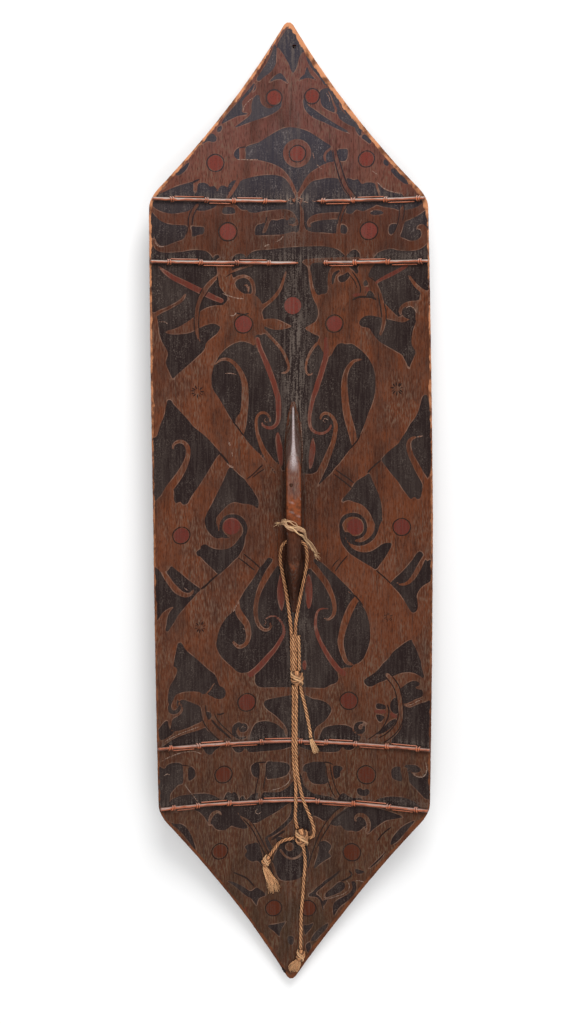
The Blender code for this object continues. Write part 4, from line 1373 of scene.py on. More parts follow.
     352.5, 143, 350, 150, 347, 157, 347, 162, 350, 164, 355, 162, 360, 158, 362, 160, 366, 166, 367, 171,
     362, 174, 366, 175, 380),
    ("light", 1.3, 158, 361, 163, 360.5),
    ("black", 108, 320, 109, 331, 114, 334, 120, 336, 128, 337, 135, 335, 145, 334, 155, 334, 163, 336,
     170, 341, 175, 346, 176, 320),
    # The upper half of the long field: a black ground with the two upper figures bared from it
    ("black", -190, 319, -100, 319, 0, 319, 100, 319, 190, 319, 190, 250, 190, 150, 100, 150, 0, 150,
     -100, 150, -190, 150, -190, 250),
    ("wood", -95, 326, -95, 310, -95, 300, -92, 291, -87, 284, -82, 277.5, -84, 271, -88, 266, -90, 255,
     -90.5, 244, -92, 237, -96, 231, -101, 227, -107, 222, -110, 218, -111, 213, -114, 208, -119, 203.5,
     -127, 196, -135, 189, -143, 182, -149, 176.5, -151, 172.5, -153, 176, -156, 183, -160, 194, -158,
     202, -157.5, 207, -160, 213, -164, 220, -167, 229, -168.5, 240, -170, 250, -175, 258, -184, 262,
     -188, 240, -188, 190, -188, 140, -140, 138, -100, 140, -85, 150, -60, 200, -44, 206, -47, 214, -46,
     222, -47, 228, -43, 230, -38, 229, -35, 234, -36, 240, -36, 248, -37, 254, -38, 258, -36, 263, -38,
     269, -42, 276, -47, 280, -49, 281.5, -52, 282, -57, 281, -62, 282.5, -67, 286, -71, 291, -73, 297,
     -75, 303, -77, 310, -77, 326),
    ("wood", -84, 267, -90, 267, -97, 267, -105, 265.5, -112, 262.5, -118, 258.5, -125, 252, -133, 246,
     -142, 240.5, -150, 237, -158, 235, -162, 234, -158, 231.5, -150, 230, -140, 230.5, -132, 231.5, -125,
     234, -118, 238, -110, 241.5, -103, 243.5, -97, 243, -92, 240, -86, 240),
    ("wood", -40, 246, -35, 249, -28, 250, -20, 249.5, -12, 246.5, -5, 243, 0, 240, -5, 237.5, -12, 236,
     -20, 235.5, -28, 237, -35, 240.5, -40, 241),
    ("wood line", -40, 264, 8, -33, 268, 5, -26, 273.5, 4.5, -19, 281, 4.5, -14, 289, 4, -11, 297, 3.5,
     -8.5, 305, 3, -7, 310, 2),
    ("wood line", -40, 236, 6, -34, 233, 4.5, -28, 227, 4, -20, 218.5, 4, -12, 208.5, 4, -7, 198, 4, -4,
     189, 3.5, -5, 183, 3, -9, 180, 2.5, -13, 180, 2),
    ("leg", -167, 315, 2, -160, 309, 5, -150, 302, 6.5, -140, 297, 7, -125, 289.5, 7.5, -112, 283, 7.5,
     -100, 277, 7, -90, 273, 6),
    ("wood line", -96, 303, 4, -103, 296, 6, -109, 289, 6, -115, 279, 5.5, -119.5, 268, 5.5, -121.5, 255,
     5, -121.5, 240, 4.5, -120.5, 230, 3.5, -117.5, 221, 2),
    ("dark", 1.1, -106, 286, -112, 276, -116.5, 264, -118.5, 250, -118.5, 238, -117.5, 229),
    ("dark", 1.1, -113, 289, -119, 277, -123, 264, -124.5, 250, -124, 238, -123, 230),
    ("dark", 1.6, -95, 304, -94, 296, -93, 290),
    ("black", -106, 287, -101, 291, -96, 292, -92, 287, -90, 282, -84, 277, -80, 275, -85, 276, -91, 280,
     -96, 283, -101, 284.5),
    ("dark", 1.6, -103, 270, -95, 269.5, -87, 268),
    ("wood line", -74, 296, 3, -71, 301, 4.5, -66, 303.5, 4.5, -60, 304, 4, -54, 301.5, 4.5, -50, 296, 5,
     -48.5, 289, 5, -48.5, 282, 5),
    ("wood line", -56, 283, 2, -55.5, 289, 3, -58, 293, 2.5, -61, 293, 1.5),
    ("wood line", -90, 303, 2, -80, 308, 2.5, -70, 312.5, 3, -60, 315.5, 2.5, -50, 318, 2),
    ("dark", 1.0, -84, 303, -78, 307, -72, 309.5),
    ("leg", -86, 293, 1.5, -78, 294, 2.5, -72, 294, 1.5),
    ("light", 1.5, -88, 282, -80, 279, -72, 276.5, -62, 275.5),
    ("light", 1.5, -79, 254, -74, 254, -71, 258),
    ("dark", 1.4, -71, 257.5, -66, 256, -60, 255.5, -55, 257),
    ("disc", -62, 243, 10.5, 11.55),
    ("wood line", -182, 246, 10, -173, 254.5, 6, -166, 259, 5, -158, 262.5, 4.5, -150, 267, 4, -143, 271,
     4, -138, 275.5, 4, -135.5, 280, 3, -136.5, 282, 2),
    ("light", 1.0, -168, 246, -161, 246, -157, 243),
    ("disc", 1.5, 266.5, 11, 0),
    ("wood", 19, 326, 21, 315, 22, 305, 23, 295, 25, 285, 28, 275, 32, 267, 34, 260, 33.5, 252, 30, 245.5,
     24, 242, 17, 237, 22, 233.5, 29, 229.5, 35.5, 226.5, 34, 220, 42, 205, 60, 195, 100, 160, 107, 140,
     140, 137, 188, 136, 188, 200, 188, 288, 172, 284, 163, 280, 161, 272, 152, 271, 144, 269, 138, 264,
     136, 257, 139, 252, 136, 251, 128, 258.5, 119, 268, 114, 275, 111, 284, 107, 293, 102, 301, 98, 304,
     101, 312, 104, 326),
    ("black", 87, 246, 90, 250, 95, 252.5, 102, 253, 113, 250.5, 125, 247.5, 135, 245, 142, 244, 147, 246,
     152, 249, 156, 249, 157.5, 245, 155, 238, 153, 230, 152, 220, 153, 214, 157, 207, 155, 200, 151, 191,
     149, 185, 146, 192, 143, 198, 140, 203, 132, 208, 120, 215, 112, 220, 105, 228, 100, 236, 95, 238,
     90, 239, 87, 242),
    ("black", 140, 258, 142, 262, 147, 264, 152, 263, 156, 258.5, 157, 253, 156, 248, 150, 248, 144, 250,
     141, 254),
    ("light", 1.0, 145, 262, 151, 264.5, 156, 260.5, 158.5, 255),
    ("wood line", 102, 299, 5, 108, 290, 5.5, 113, 277, 5.5, 116.5, 264, 5.5, 118, 251, 5.5, 117, 240, 5,
     113.5, 229, 3.5),
    ("dark", 1.2, 110, 283, 112, 272, 114, 260, 115, 250),
    ("dark", 1.2, 118, 270, 120.5, 256, 120.5, 246),
    ("black", 26, 320, 26, 305, 27.5, 295, 30, 286, 33, 280.5, 36, 279.5, 39, 281.5, 44, 281.5, 46.5, 286,
     46.5, 295, 47, 305, 49, 312, 52, 320),
    ("black line", 53, 294, 2.5, 53.5, 301, 4, 56, 307, 4, 61, 310, 3),
    ("black", 60, 300, 63, 296, 68, 296.5, 73, 301, 75, 305, 72, 309, 68, 306, 64, 304.5, 61, 304),
    ("black", 50, 320, 56, 317, 64, 317.5, 72, 316, 79, 311, 83, 306, 86, 309, 84, 314, 86, 320),
    ("dark", 1.4, 78, 309, 84, 300, 88, 290, 88.5, 282),
    ("dark", 1.0, 72, 308, 80, 298, 84, 288),
    ("black", 92, 295, 95, 298.5, 98, 294, 97, 290, 93, 290.5),
    ("leg", 96, 289, 3.5, 97, 285, 4),
    ("black", 95, 277, 97, 282, 99, 285, 103, 283, 106, 277, 101, 275.5),
    ("dark", 2.0, 78, 273, 84, 276, 90, 277, 103, 276, 108, 273),
    ("leg", 80, 279, 4, 86, 280, 4),
    ("dark", 1.2, 98, 303, 104, 299, 108, 296),
    ("leg", 108, 295, 3, 115, 299, 4, 123, 303, 5, 133, 308, 5, 142, 313, 4.5, 148, 317, 3),
    ("wood line", 149, 302, 3, 156, 292, 4.5, 163, 285, 5, 172, 279, 6),
    ("disc", 55, 243, 9.5, 11.2),
    # The black ground between the upper figures' limbs
    ("black", -62, 220.5, -70, 219.5, -78, 216, -85, 211, -91, 205, -96, 198, -100, 190, -102.5, 180,
     -103, 170, -101.5, 160, -95, 150, -88, 138, -82, 127, -77, 119, -74, 115, -70, 110, -66, 104, -63,
     100, -58, 92, -50, 83, -42, 75, -35, 66, -27, 55, -20, 46, -17, 41, -21, 52, -28, 66, -30, 80, -28,
     110, -26, 150, -30, 178, -36, 195, -43, 207, -50, 216),
    ("black", 57, 214, 60, 217, 65, 218, 70, 216.5, 77, 217, 85, 212, 92, 206, 98, 199, 103, 190, 106,
     180, 107, 170, 107, 158, 105, 148, 102, 138, 98, 128, 94, 116, 90, 106, 87, 99.5, 83, 93, 78, 86, 72,
     78, 66, 70, 60, 62, 55, 57, 51, 51, 46, 46, 40, 40, 33, 33, 37, 42, 42, 54, 40, 80, 32, 110, 31, 150,
     38, 165, 45, 186, 49, 197, 53, 207),
    ("black", -42, 153, 0, 152, 42, 153, 50, 120, 50, 90, 40, 60, 28, 50, 20, 49, 12, 50, 0, 52, -10, 54,
     -18, 52, -28, 62, -40, 90, -46, 120),
    ("wood line", -97, 193, 2, -92, 197, 3, -85, 198.5, 4, -78, 196, 4.5, -72, 190.5, 5, -66.5, 182.5, 6,
     -62.5, 173, 7, -60.5, 163, 8, -60.5, 150, 9, -61, 138, 9, -63, 125, 10, -66, 116, 11),
    ("wood", -73, 121, -71, 113, -67, 106, -63, 101, -60.5, 108, -58.5, 118, -58.5, 128, -67, 128),
    ("dark", 1.5, -77, 119, -74, 115, -70, 110, -66, 104, -62, 99),
    ("wood line", -16, 48, 8, -19, 56, 9, -26, 63, 9, -32, 72, 7.5, -37.5, 81, 6.5, -41.5, 91, 5.5, -45,
     102, 4.5, -46.5, 113, 4, -46, 121, 3.5, -43, 127, 3.5, -38, 129, 3.5, -33, 127.5, 3.5, -29.5, 123, 3,
     -28.5, 118, 2.5),
    ("leg", -44, 224, 5, -41, 212, 6, -36, 200, 6.5, -31, 188, 7, -26.5, 176, 7, -22.5, 164, 7, -20, 155,
     7, -18, 148, 7, -17.5, 138, 7, -17.5, 128, 6.5, -18, 120, 6, -20, 114, 5, -25, 109.5, 4.5, -30, 109,
     4, -35, 110.5, 3.5, -38.5, 113.5, 3, -39.5, 116, 2.5),
    ("light", 0.9, -34, 122, -36, 119, -34, 116.5, -31, 117),
    ("leaf", -19.5, 104, -21.5, 95, -21, 85, -19.5, 75, -17.5, 65, -14, 58, -12, 63, -11.5, 70, -12, 80,
     -14, 90, -16.5, 100),
    ("light", 1.0, -86, 180, -78, 180, -72, 178.5),
    ("wood line", 91, 196.5, 2, 86, 196.5, 3, 80, 195, 4, 74, 189, 5, 70, 181, 6, 68, 172, 7, 67.5, 160,
     8.5, 68.5, 145, 9, 70, 132, 9.5, 72.5, 120, 10, 76, 108, 10, 78.5, 97, 9, 79, 90, 7),
    ("dark", 1.5, 88, 101, 84, 93, 80, 88, 75, 82),
    ("leg", 44, 224, 4, 44.5, 210, 6, 44, 200, 7, 41, 190, 7, 37.5, 178, 7, 33.5, 166, 7, 30.5, 156, 6.5,
     28, 150, 6, 25.5, 140, 5.5, 23.5, 130, 5, 22.5, 120, 4.5, 23.5, 111, 4, 27, 105, 4, 33, 102, 3.5, 39,
     101.5, 3.5, 44, 103.5, 3, 48, 107, 3, 50.5, 112, 2.5),
    ("wood line", 38, 221, 3.5, 31, 216, 3.5, 24.5, 207, 3.5, 20, 197, 3, 18, 188, 3, 18.5, 181, 3, 21.5,
     177.5, 2.5, 25, 177, 2, 27.5, 180, 1.5),
    ("wood line", 27, 38, 9, 33, 42, 8, 36, 50, 9, 41, 60, 9, 45, 70, 8, 50, 82, 7, 53.5, 92, 6, 55.5,
     102, 5.5, 56.5, 112, 5, 54, 120, 4.5, 49, 126, 4, 43, 128, 4, 38.5, 125.5, 3.5, 37, 121, 3),
    ("light", 0.9, 43, 116, 40, 118, 42, 121, 47, 119),
    ("leaf", 26.5, 97, 24.5, 90, 22.5, 80, 21.5, 70, 22, 56, 25, 57, 27.5, 65, 29.5, 75, 30, 85, 28.5,
     92),
    # The long black limbs at the sides, and the hooks over them
    ("black", -159.5, 143, -159, 146.5, -156.5, 147.5, -153.5, 146, -151.5, 142, -148, 138, -140, 129,
     -133, 121, -127, 113, -120, 107, -113, 101, -107, 95, -101, 88, -96, 82, -92.5, 77.5, -97, 73, -104,
     62, -110, 52, -116, 43, -121, 35, -127, 27, -131, 21, -134, 15, -137, 12.8, -141, 13, -144.5, 17.5,
     -147, 15, -150, 15.5, -151.8, 20, -151.5, 28, -153, 33, -160, 33, -165, 28, -170, 24, -178, 20, -179,
     60, -178, 97, -173, 100, -170, 108, -168, 115, -165, 122, -162, 130, -161, 137),
    ("wood line", -162, 24, 12, -158, 33, 10, -152, 41, 10, -144, 52, 9, -138, 63, 7.5, -134, 74, 6,
     -133.5, 84, 5.5, -137, 91, 5, -143, 94, 4.5, -149, 92.5, 4, -152.5, 88, 3, -152.5, 85, 2.5),
    ("dark", 2.2, -94, 78, -90, 74, -86, 69, -82, 63),
    ("light", 2.4, -85, 66, -81, 61, -76, 58.5),
    ("light", 1.5, -78, 79, -77, 73),
    ("light", 3.0, -82, 92, -80, 87),
    ("black", -79.5, 59, -83, 56, -86, 49, -90, 40, -95, 30, -100, 20, -104, 12, -108, 5, -112, -3,
     -113.5, -9, -112.5, -15, -111, -20, -107, -26, -102, -31, -96, -33, -92, -31, -95, -25, -97.5, -18,
     -98.5, -11, -98, -5, -94.5, -1, -91, 3, -86, 8, -80, 12.5, -73, 13.5, -66, 11.5, -58, 10.5, -50, 8,
     -46, 3.5, -44.2, 8, -44, 13, -46, 19, -49, 24, -53, 31, -58, 37, -62, 43, -68, 48, -74, 54),
    ("black line", -83, -32, 2, -90, -29, 6, -93, -21, 4, -91.5, -12, 4, -86, -6, 4.5, -79, -4.5, 5, -71,
     -6.5, 6, -65, -12, 6.5, -61.5, -20, 6, -62, -27, 5, -65, -33, 5),
    ("disc", -79, -17.5, 11, 0),
    ("dark", 1.3, -59, 43, -50, 50, -43, 57, -38.5, 61),
    ("dark", 1.1, -52, 45, -44, 51, -36, 56),
    ("black", 168, 152, 165, 148, 163, 140, 160, 130, 156, 122, 150, 114, 146, 106, 140, 97, 136, 90, 129,
     84, 121, 77, 117, 72, 114.5, 68, 120, 60, 126, 52, 131, 46, 136, 40, 141, 32, 146, 25, 150, 20, 153,
     19, 155.5, 22.5, 158, 20, 161, 18.5, 163.5, 22, 165.5, 30, 166, 38, 169, 45, 173, 46, 176, 60, 177,
     100, 175, 130, 172, 150),
    ("wood line", 171, 36, 9, 168, 44, 9, 162, 54, 8.5, 157, 64, 8, 152, 74, 7, 149, 84, 6.5, 149, 91,
     5.5, 152, 96, 4, 157, 98, 3),
    ("light", 2.0, 159, 98.5, 166, 100),
    ("dark", 1.6, 114, 68, 106, 61, 100, 55, 97, 51),
    ("black", 99, 50.5, 95, 48, 90, 45, 84, 41, 80, 37, 76, 30, 71, 24, 66, 18, 64, 14, 66, 13, 70, 15,
     75, 15, 80, 13, 87, 11, 92, 8, 97, 3, 101, -3, 104, -10, 107, -16, 111, -15, 114, -11, 115.5, -3,
     115, 5, 113.5, 15, 111, 24, 107, 33, 103, 42),
    ("black line", 70, -30, 4, 64.5, -24, 3, 62, -20, 3, 64, -12, 4.5, 69, -6, 5, 77, -3.5, 5, 85, -4.5,
     5, 91, -9, 4, 94, -16, 4, 94, -24, 4, 90, -30, 4, 84, -33, 4, 78, -33, 4, 72, -28, 4),
    ("black line", 70, -30, 5, 75, -37, 6, 82, -41, 5, 90, -41, 4.5, 98, -37, 5, 104, -31, 5, 108, -23, 5,
     109.5, -15, 6, 112, -8, 8),
    ("disc", 81, -19, 10.5, 0),
    ("dark", 1.3, 56, 55, 64, 49, 72, 44, 79, 38),
    ("dark", 1.3, 54, 49, 62, 43, 70, 37, 77, 31),
    # The lower half of the long field
    ("black", -118, -41, -112, -40, -108, -43, -102, -46, -95, -47.5, -88, -47.5, -81, -45.5, -75, -41,
     -71, -36, -66, -30, -62, -30, -62, -35, -63, -42, -65, -48, -68, -53, -71, -58, -76, -62, -81, -67,
     -86, -72, -92, -77, -96, -80, -103, -73, -108, -68, -113, -63, -119, -56, -123, -54, -124.5, -50,
     -122, -47, -119, -46),
    ("dark", 2.0, -96, -79, -101, -83, -107, -88, -112, -93, -119, -98),
    ("black", -156, -66, -150, -71, -143, -77, -137, -83, -130, -89, -124, -94, -119, -98, -120, -100,
     -124, -103, -130, -110, -135, -115, -142, -123, -148, -130, -152, -137, -156, -143, -160, -149, -162,
     -151, -164, -148, -163, -142, -162, -135, -160, -128, -157, -123, -153, -119, -157, -119, -163, -122,
     -168, -126, -173, -133, -179, -135, -180, -100, -179, -68, -172, -69, -166, -74, -160, -71),
    ("wood line", -171, -66, 5, -167, -72, 5, -162, -80, 7, -157, -88, 7, -151, -96, 8, -145, -101.5, 7,
     -138, -104.5, 6, -132, -103.5, 4, -129, -99, 3),
    ("light", 1.0, -140, -95, -135, -99),
    ("dark", 1.3, -64, -54, -57, -60, -50, -66, -43, -73),
    ("dark", 1.3, -71, -59, -63, -65, -56, -71, -50, -76),
    ("disc", -143, -27, 9.5, 10.85),
    ("disc", 140, -17.5, 10, 11.1),
    ("black", 61, -22, 61.5, -32, 64, -41, 69, -48, 74, -54, 80, -58, 88, -63, 95, -67, 102, -71, 107,
     -74, 110, -71, 114, -65, 119, -58, 123, -51, 126, -45, 127.5, -40, 125, -38.5, 120, -39, 115, -41,
     110, -45, 104, -49, 98, -51.5, 90, -52, 82, -50, 76, -46, 71, -40, 67, -32, 66, -24, 64, -17),
    ("dark", 1.4, 108, -75, 115, -81, 122, -87, 127, -92),
    ("dark", 1.3, 71, -57, 65, -64, 59, -72, 55, -78),
    ("dark", 1.1, 60, -62, 55, -67, 51, -73),
    ("black", 162, -48, 158, -52, 153, -60, 147, -68, 141, -75, 134, -82, 129, -87, 126, -91, 129, -95,
     134, -100, 139, -106, 143, -112, 147, -119, 150, -124, 153, -127.5, 157, -127, 160, -122, 160, -113,
     159, -105, 162, -98, 167, -92, 177, -84, 178, -70, 176, -58, 171, -60, 166, -50),
    ("wood line", 172, -48, 3, 168, -55, 4, 163, -66, 6, 158, -76, 6, 153, -84, 5.5, 147, -90, 4, 140,
     -92, 3, 134, -90.5, 2),
    ("black", -31, -60, -33, -61, -38, -68, -43, -73, -47, -80, -52, -88, -58, -96, -63, -103, -67, -110,
     -70, -115, -76, -124, -80, -131, -84, -134, -89, -140, -94, -148, -97, -156, -99, -165, -100, -172,
     -98, -180, -94, -187, -89, -193, -83, -199, -78, -204, -74, -208, -69, -210.5, -62, -210.5, -55,
     -210, -50, -216, -50.5, -222, -48, -228, -42, -231, -30, -231.5, -5, -232, 10, -231, 18, -232, 38,
     -232.5, 44, -231, 48, -228, 54, -226, 58, -223, 59, -218, 58, -211, 63, -206, 69, -204, 75, -204, 80,
     -200, 87, -196, 92, -190, 95, -183, 98, -175, 100, -165, 100, -155, 99, -145, 97, -136, 94, -128, 90,
     -122, 86, -115, 80.5, -108.5, 74, -101, 68, -95, 62, -89, 55, -82, 48, -76, 40, -69, 33, -64, 28,
     -62, 25, -69, 22, -76, 14, -72, 4, -70, -8, -68, -16, -73, -22, -68, -27, -62),
    ("wood line", -18, -58, 9, -22, -66, 9, -27, -73, 9, -33, -82, 9, -38, -91, 8, -43, -101, 7, -46.5,
     -112, 6, -48.5, -124, 6, -48.5, -135, 5.5, -46.5, -145, 5, -42, -152, 5, -36, -155.5, 4, -31, -154,
     3.5, -28.5, -150, 3, -30, -146, 2),
    ("light", 0.9, -38, -149, -35, -145, -37, -142),
    ("leaf", -16, -80, -18, -88, -20, -98, -20.5, -108, -19.5, -118, -17.5, -126, -15, -131, -13, -127,
     -11, -118, -10, -105, -11, -92, -13, -84),
    ("leg", -36, -141, 1.5, -31, -138, 2, -26, -137, 2, -21, -139, 2.5, -17, -143, 3, -13, -150, 3, -12,
     -160, 4, -17, -170, 5, -24, -181, 6, -32, -190, 7, -40, -199, 8, -48, -207, 8, -56, -213, 8),
    ("wood line", -71, -118, 3, -72, -126, 7, -69, -134, 9, -64, -141, 9, -60, -148, 8, -58, -160, 7, -60,
     -170, 5.5, -65, -175, 5, -71, -176, 5, -76, -172, 4, -78, -169, 3),
    ("light", 1.4, -78, -130, -74, -123, -70, -117),
    ("light", 2.0, -64.5, -152, -63.5, -154),
    ("wood line", 21, -60, 9, 24, -69, 9, 30, -76, 9, 37, -85, 8, 43, -93, 8, 48, -103, 7, 52, -113, 6,
     54, -122, 5.5, 54, -131, 5, 51, -138, 4, 46, -141.5, 3, 41, -140.5, 2),
    ("leaf", 20, -82, 17, -90, 16, -100, 16.5, -110, 17.5, -120, 20, -128, 23, -125, 25, -116, 25.5, -106,
     25, -96, 23, -86),
    ("leg", 46, -127, 1.5, 40, -127, 2, 34, -129, 2.5, 31, -134, 3, 29.5, -142, 3.5, 29.5, -152, 4, 32,
     -162, 5, 36, -172, 5, 42, -183, 6, 48, -193, 6.5, 54, -201, 7, 59, -207, 7, 66, -212, 7),
    ("leaf", 14, -196, 12, -201, 13, -208, 16, -209, 17.5, -202, 16.5, -197),
    ("wood line", 84, -111, 6, 80, -117, 8, 76, -124, 9, 71, -135, 9, 67, -147, 9, 64, -158, 8, 62, -170,
     8, 63.5, -181, 7, 67, -192, 6, 71, -198, 5, 77, -199.5, 3),
    ("dark", 1.5, 80, -108, 86, -115, 91, -122),
    ("light", 1.6, 72, -104, 75, -106),
    # The lower figures, down to the third binding
    ("black", -147, -165, -143, -168, -140, -174, -134, -181, -127, -187, -121, -193, -115, -199, -109,
     -205, -103, -210, -100, -215, -98, -221, -96, -226, -91, -229, -88.5, -234, -89, -240, -92, -243,
     -97, -243.5, -102, -242, -107, -239, -113, -236, -117, -236, -122, -232.5, -130, -231, -140, -230.5,
     -148, -232, -153, -235, -158.5, -247, -161.5, -243, -162, -236, -161, -228, -159, -221, -155, -215,
     -152, -209, -150, -203, -151, -198, -154, -197, -154.5, -194, -153, -186, -151, -176, -149, -168),
    ("wood line", -103, -222, 1.8, -108, -230, 1.8, -115, -236.5, 1.8),
    ("black line", -160, -248, 4, -159, -254, 5, -154, -256.5, 5, -149, -254, 5, -147.5, -249.5, 4),
    ("black line", -150, -241, 2, -150, -247, 2.5),
    ("black", -148, -242, -142, -241, -135, -244, -128, -247.5, -122, -251, -120, -257, -119, -263, -118,
     -269, -121, -272, -128, -274.5, -135, -277.5, -142, -279.5, -150, -281, -157, -279, -158, -272, -156,
     -265, -150, -262, -144, -257, -143, -250),
    ("black", -163, -266, -168, -269, -172, -274, -176, -280, -175, -287, -170, -291, -163, -288.5, -155,
     -283, -159, -279.5, -161.5, -273),
    ("black", -115, -280, -125, -283, -140, -286, -155, -291, -168, -299, -176, -303, -100, -303, -103,
     -293, -108, -288, -113, -283),
    ("light", 1.0, -120, -277, -135, -281.5, -150, -286, -166, -293),
    ("dark", 1.2, -121, -252, -120.5, -262, -117, -273, -111, -283, -103, -292, -96, -299),
    ("dark", 1.2, -114.5, -250, -113.5, -261, -110.5, -270),
    ("black", -114, -259, -108, -261, -107, -266, -110, -270),
    ("dark", 2.2, -107, -270, -100, -279, -92, -287, -82, -297),
    ("dark", 1.6, -100, -263, -96, -264, -90, -262),
    ("dark", 1.0, -103, -262, -100.5, -269, -93, -279, -85, -287, -78, -294),
    ("disc", -61, -250, 10.5, 11.75),
    ("black", -6, -243, -15, -244.5, -25, -246, -35, -248, -38.5, -251, -38, -256, -33, -262, -25, -268,
     -18, -275, -12, -282, -8, -290, -6, -303, 10, -304, 26, -303, 27, -292, 30, -285, 36, -280, 42, -275,
     47, -268, 50, -261, 48, -256, 42, -251, 33, -248, 25, -247, 17, -243, 8, -242),
    ("black", -55, -288, -51, -280, -46, -277, -38, -276, -30, -277.5, -22, -281, -16, -286, -12.5, -291,
     -12, -303, -35, -303, -56, -303, -57, -295),
    ("black line", -71, -277.5, 4, -76, -281, 6, -78, -287, 6, -76, -293, 5, -70, -297.5, 3, -62, -296,
     2.5),
    ("black line", -66, -283.5, 12, -66.1, -283.5, 12),
    ("light", 1.0, -69, -284, -66, -281, -63, -284),
    ("black", 152, -163, 145, -167, 139, -172, 133, -177, 128, -182, 125, -187, 121, -192, 116, -197, 112,
     -203, 107, -208, 101, -213, 95, -217, 92, -220.5, 93, -224, 96, -227, 100, -228, 105, -226, 111,
     -222, 118, -219, 125, -215, 130, -212, 138, -208, 146, -206, 154, -206, 160, -208, 165, -211, 168.5,
     -214, 168, -209, 165, -197, 164, -190, 161, -182, 158, -174, 154, -167),
    ("black", 138, -229, 143, -224, 149, -219, 155, -216.5, 160, -217, 163, -220, 161, -223, 157, -224,
     160, -227, 166, -228, 166, -236, 158, -240, 150, -245, 142, -247, 138, -236),
    ("light", 1.0, 145, -249, 152, -248, 158, -244, 165, -240),
    ("black", 141, -250, 150, -252, 160, -247, 170, -243, 177, -245, 177, -303, 140, -303, 128, -303, 128,
     -295, 135, -287, 140, -278, 142, -265),
    ("black", 133, -240, 127, -245, 125.5, -252, 127, -258, 132, -261.5, 135.5, -260, 136, -250),
    ("black", 133, -268, 128, -270, 122, -275, 115, -283, 108, -290, 104, -292, 112, -290, 120, -286, 128,
     -279, 133, -271),
    ("wood line", 122, -211, 5, 128, -218, 6, 133, -225, 6, 136, -233, 6, 138, -243, 6, 139, -255, 6, 139,
     -265, 6, 136, -275, 6, 131, -284, 6, 124, -291, 6, 115, -297, 6, 108, -300, 6),
    ("dark", 1.2, 119, -213, 125, -220, 130, -227, 133, -236, 134.5, -246, 135.5, -256, 135.5, -265,
     132.5, -274, 127, -282, 120, -289, 111, -295),
    ("dark", 1.2, 125, -209, 131, -216, 136.5, -224, 139.5, -234, 141.5, -246, 142.5, -258, 142, -267,
     139, -277, 133, -287, 126, -294, 117, -301),
    ("leg", 127, -262, 4, 132, -265, 5),
    ("black", 108, -250, 114, -249.5, 120, -252, 120, -256, 114, -257, 108, -256),
    ("leg", 108, -260, 5, 118, -260, 5),
    ("black", 108, -264, 118, -266, 116, -271, 112, -274, 109, -270),
    ("dark", 1.2, 122, -250, 124, -258, 123, -266, 119, -276, 113, -285, 105, -292, 97, -298),
    ("disc", 72.5, -248, 10.5, 11.6),
    ("black", 38, -288, 43, -284, 50, -282, 60, -280.5, 70, -281, 76, -284, 78, -289, 84, -293, 88, -295,
     82, -303, 60, -303, 35, -303),
    ("black line", 95, -277, 1.5, 89, -276, 3, 83, -279, 5, 82, -285, 6, 87, -289, 5, 91, -286, 5, 92,
     -281, 3),
    ("light", 1.0, 85, -284, 88, -281, 90, -284),
    # Between the third and the fourth binding
    ("black", -119, -302, -117, -309, -113, -315, -107, -316, -103, -311, -92, -302),
    ("black", -81, -303, -79, -311, -75, -315.5, -69, -316, -65, -312, -63, -303),
    ("black", -61, -303, -61, -313, -57, -316.5, -45, -316.5, -25, -315.5, -12, -314, 4, -308, 6, -303),
    ("light", 1.0, -172, -319, -160, -314, -145, -310, -130, -310, -120, -314),
    ("black", 4, -303, 5, -309, 15, -314, 30, -317, 45, -317.5, 57, -316.5, 62, -312, 62, -303),
    ("black", 64, -303, 65, -309, 68, -313, 75, -313, 80, -309, 81, -303),
    ("black", -180, -325, -168, -329, -163, -324, -155, -322.5, -147, -324, -144, -330, -144, -350, -150,
     -352, -155, -357, -160, -363, -161, -370, -165, -378, -180, -380),
    ("light", 1.6, -168, -338, -164, -336, -160, -338),
    ("black", -137, -331, -133, -330, -129, -335, -128, -342, -131, -346, -137, -347.5),
    ("dark", 1.0, -158, -323, -147, -326, -135, -329),
    ("black", -163, -384, -160, -372, -152, -368, -145, -366.5, -122, -366.5, -112, -368, -103, -372, -94,
     -379, -92, -384),
    ("light", 1.0, -142, -352, -136, -362, -130, -370, -125, -378),
    ("disc", -92, -344, 9.5, 11.2),
    ("black", -56, -336, -52, -332, -46, -331.5, -45, -345, -46, -351, -51, -350, -55, -345),
    ("black", -36, -331.5, -25, -331, -15, -332, -8, -334, -4.5, -339, -6, -344, -9, -349, -15, -351.5,
     -22, -353, -30, -353.5, -36, -352),
    ("dark", 1.3, -52, -331.5, -44, -331, -36, -331),
    ("dark", 1.1, -45.5, -333, -45.5, -346, -48, -357, -50, -367, -51, -376),
    ("dark", 1.1, -36.5, -333, -36.5, -346, -38.5, -357, -40.5, -367),
    ("black", -2, -345, -1, -356, -6, -364, -13, -369, -22, -372, -40, -371, -52, -372, -58, -376, -58,
     -384, -2, -384),
    ("wood line", -41, -366, 5, -45, -375, 5, -47, -384, 5),
    ("light", 1.0, -6, -347, -5, -355, -10, -362, -20, -367, -30, -369),
    ("black", -92, -384, -90, -372, -86, -367.5, -82, -370, -78, -368, -74, -373, -73, -384),
    ("black", -70, -384, -70, -376, -66, -375, -63, -384),
    ("black", 12, -342, 14, -336, 20, -333, 28, -331, 38, -331, 42, -334, 42, -342, 43, -350, 46, -357,
     40, -360.5, 32, -361, 25, -360, 20, -355, 17, -349, 14, -346),
    ("wood line", 15, -347, 5, 16, -356, 5, 21, -364, 6, 30, -370, 7),
    ("dark", 1.2, 38, -331, 46, -331.5, 52, -334),
    ("dark", 1.1, 42.5, -336, 43.5, -348, 46.5, -360, 50, -370, 55, -378),
    ("dark", 1.1, 48, -334, 49.5, -346, 52.5, -357, 56, -367, 62, -377),
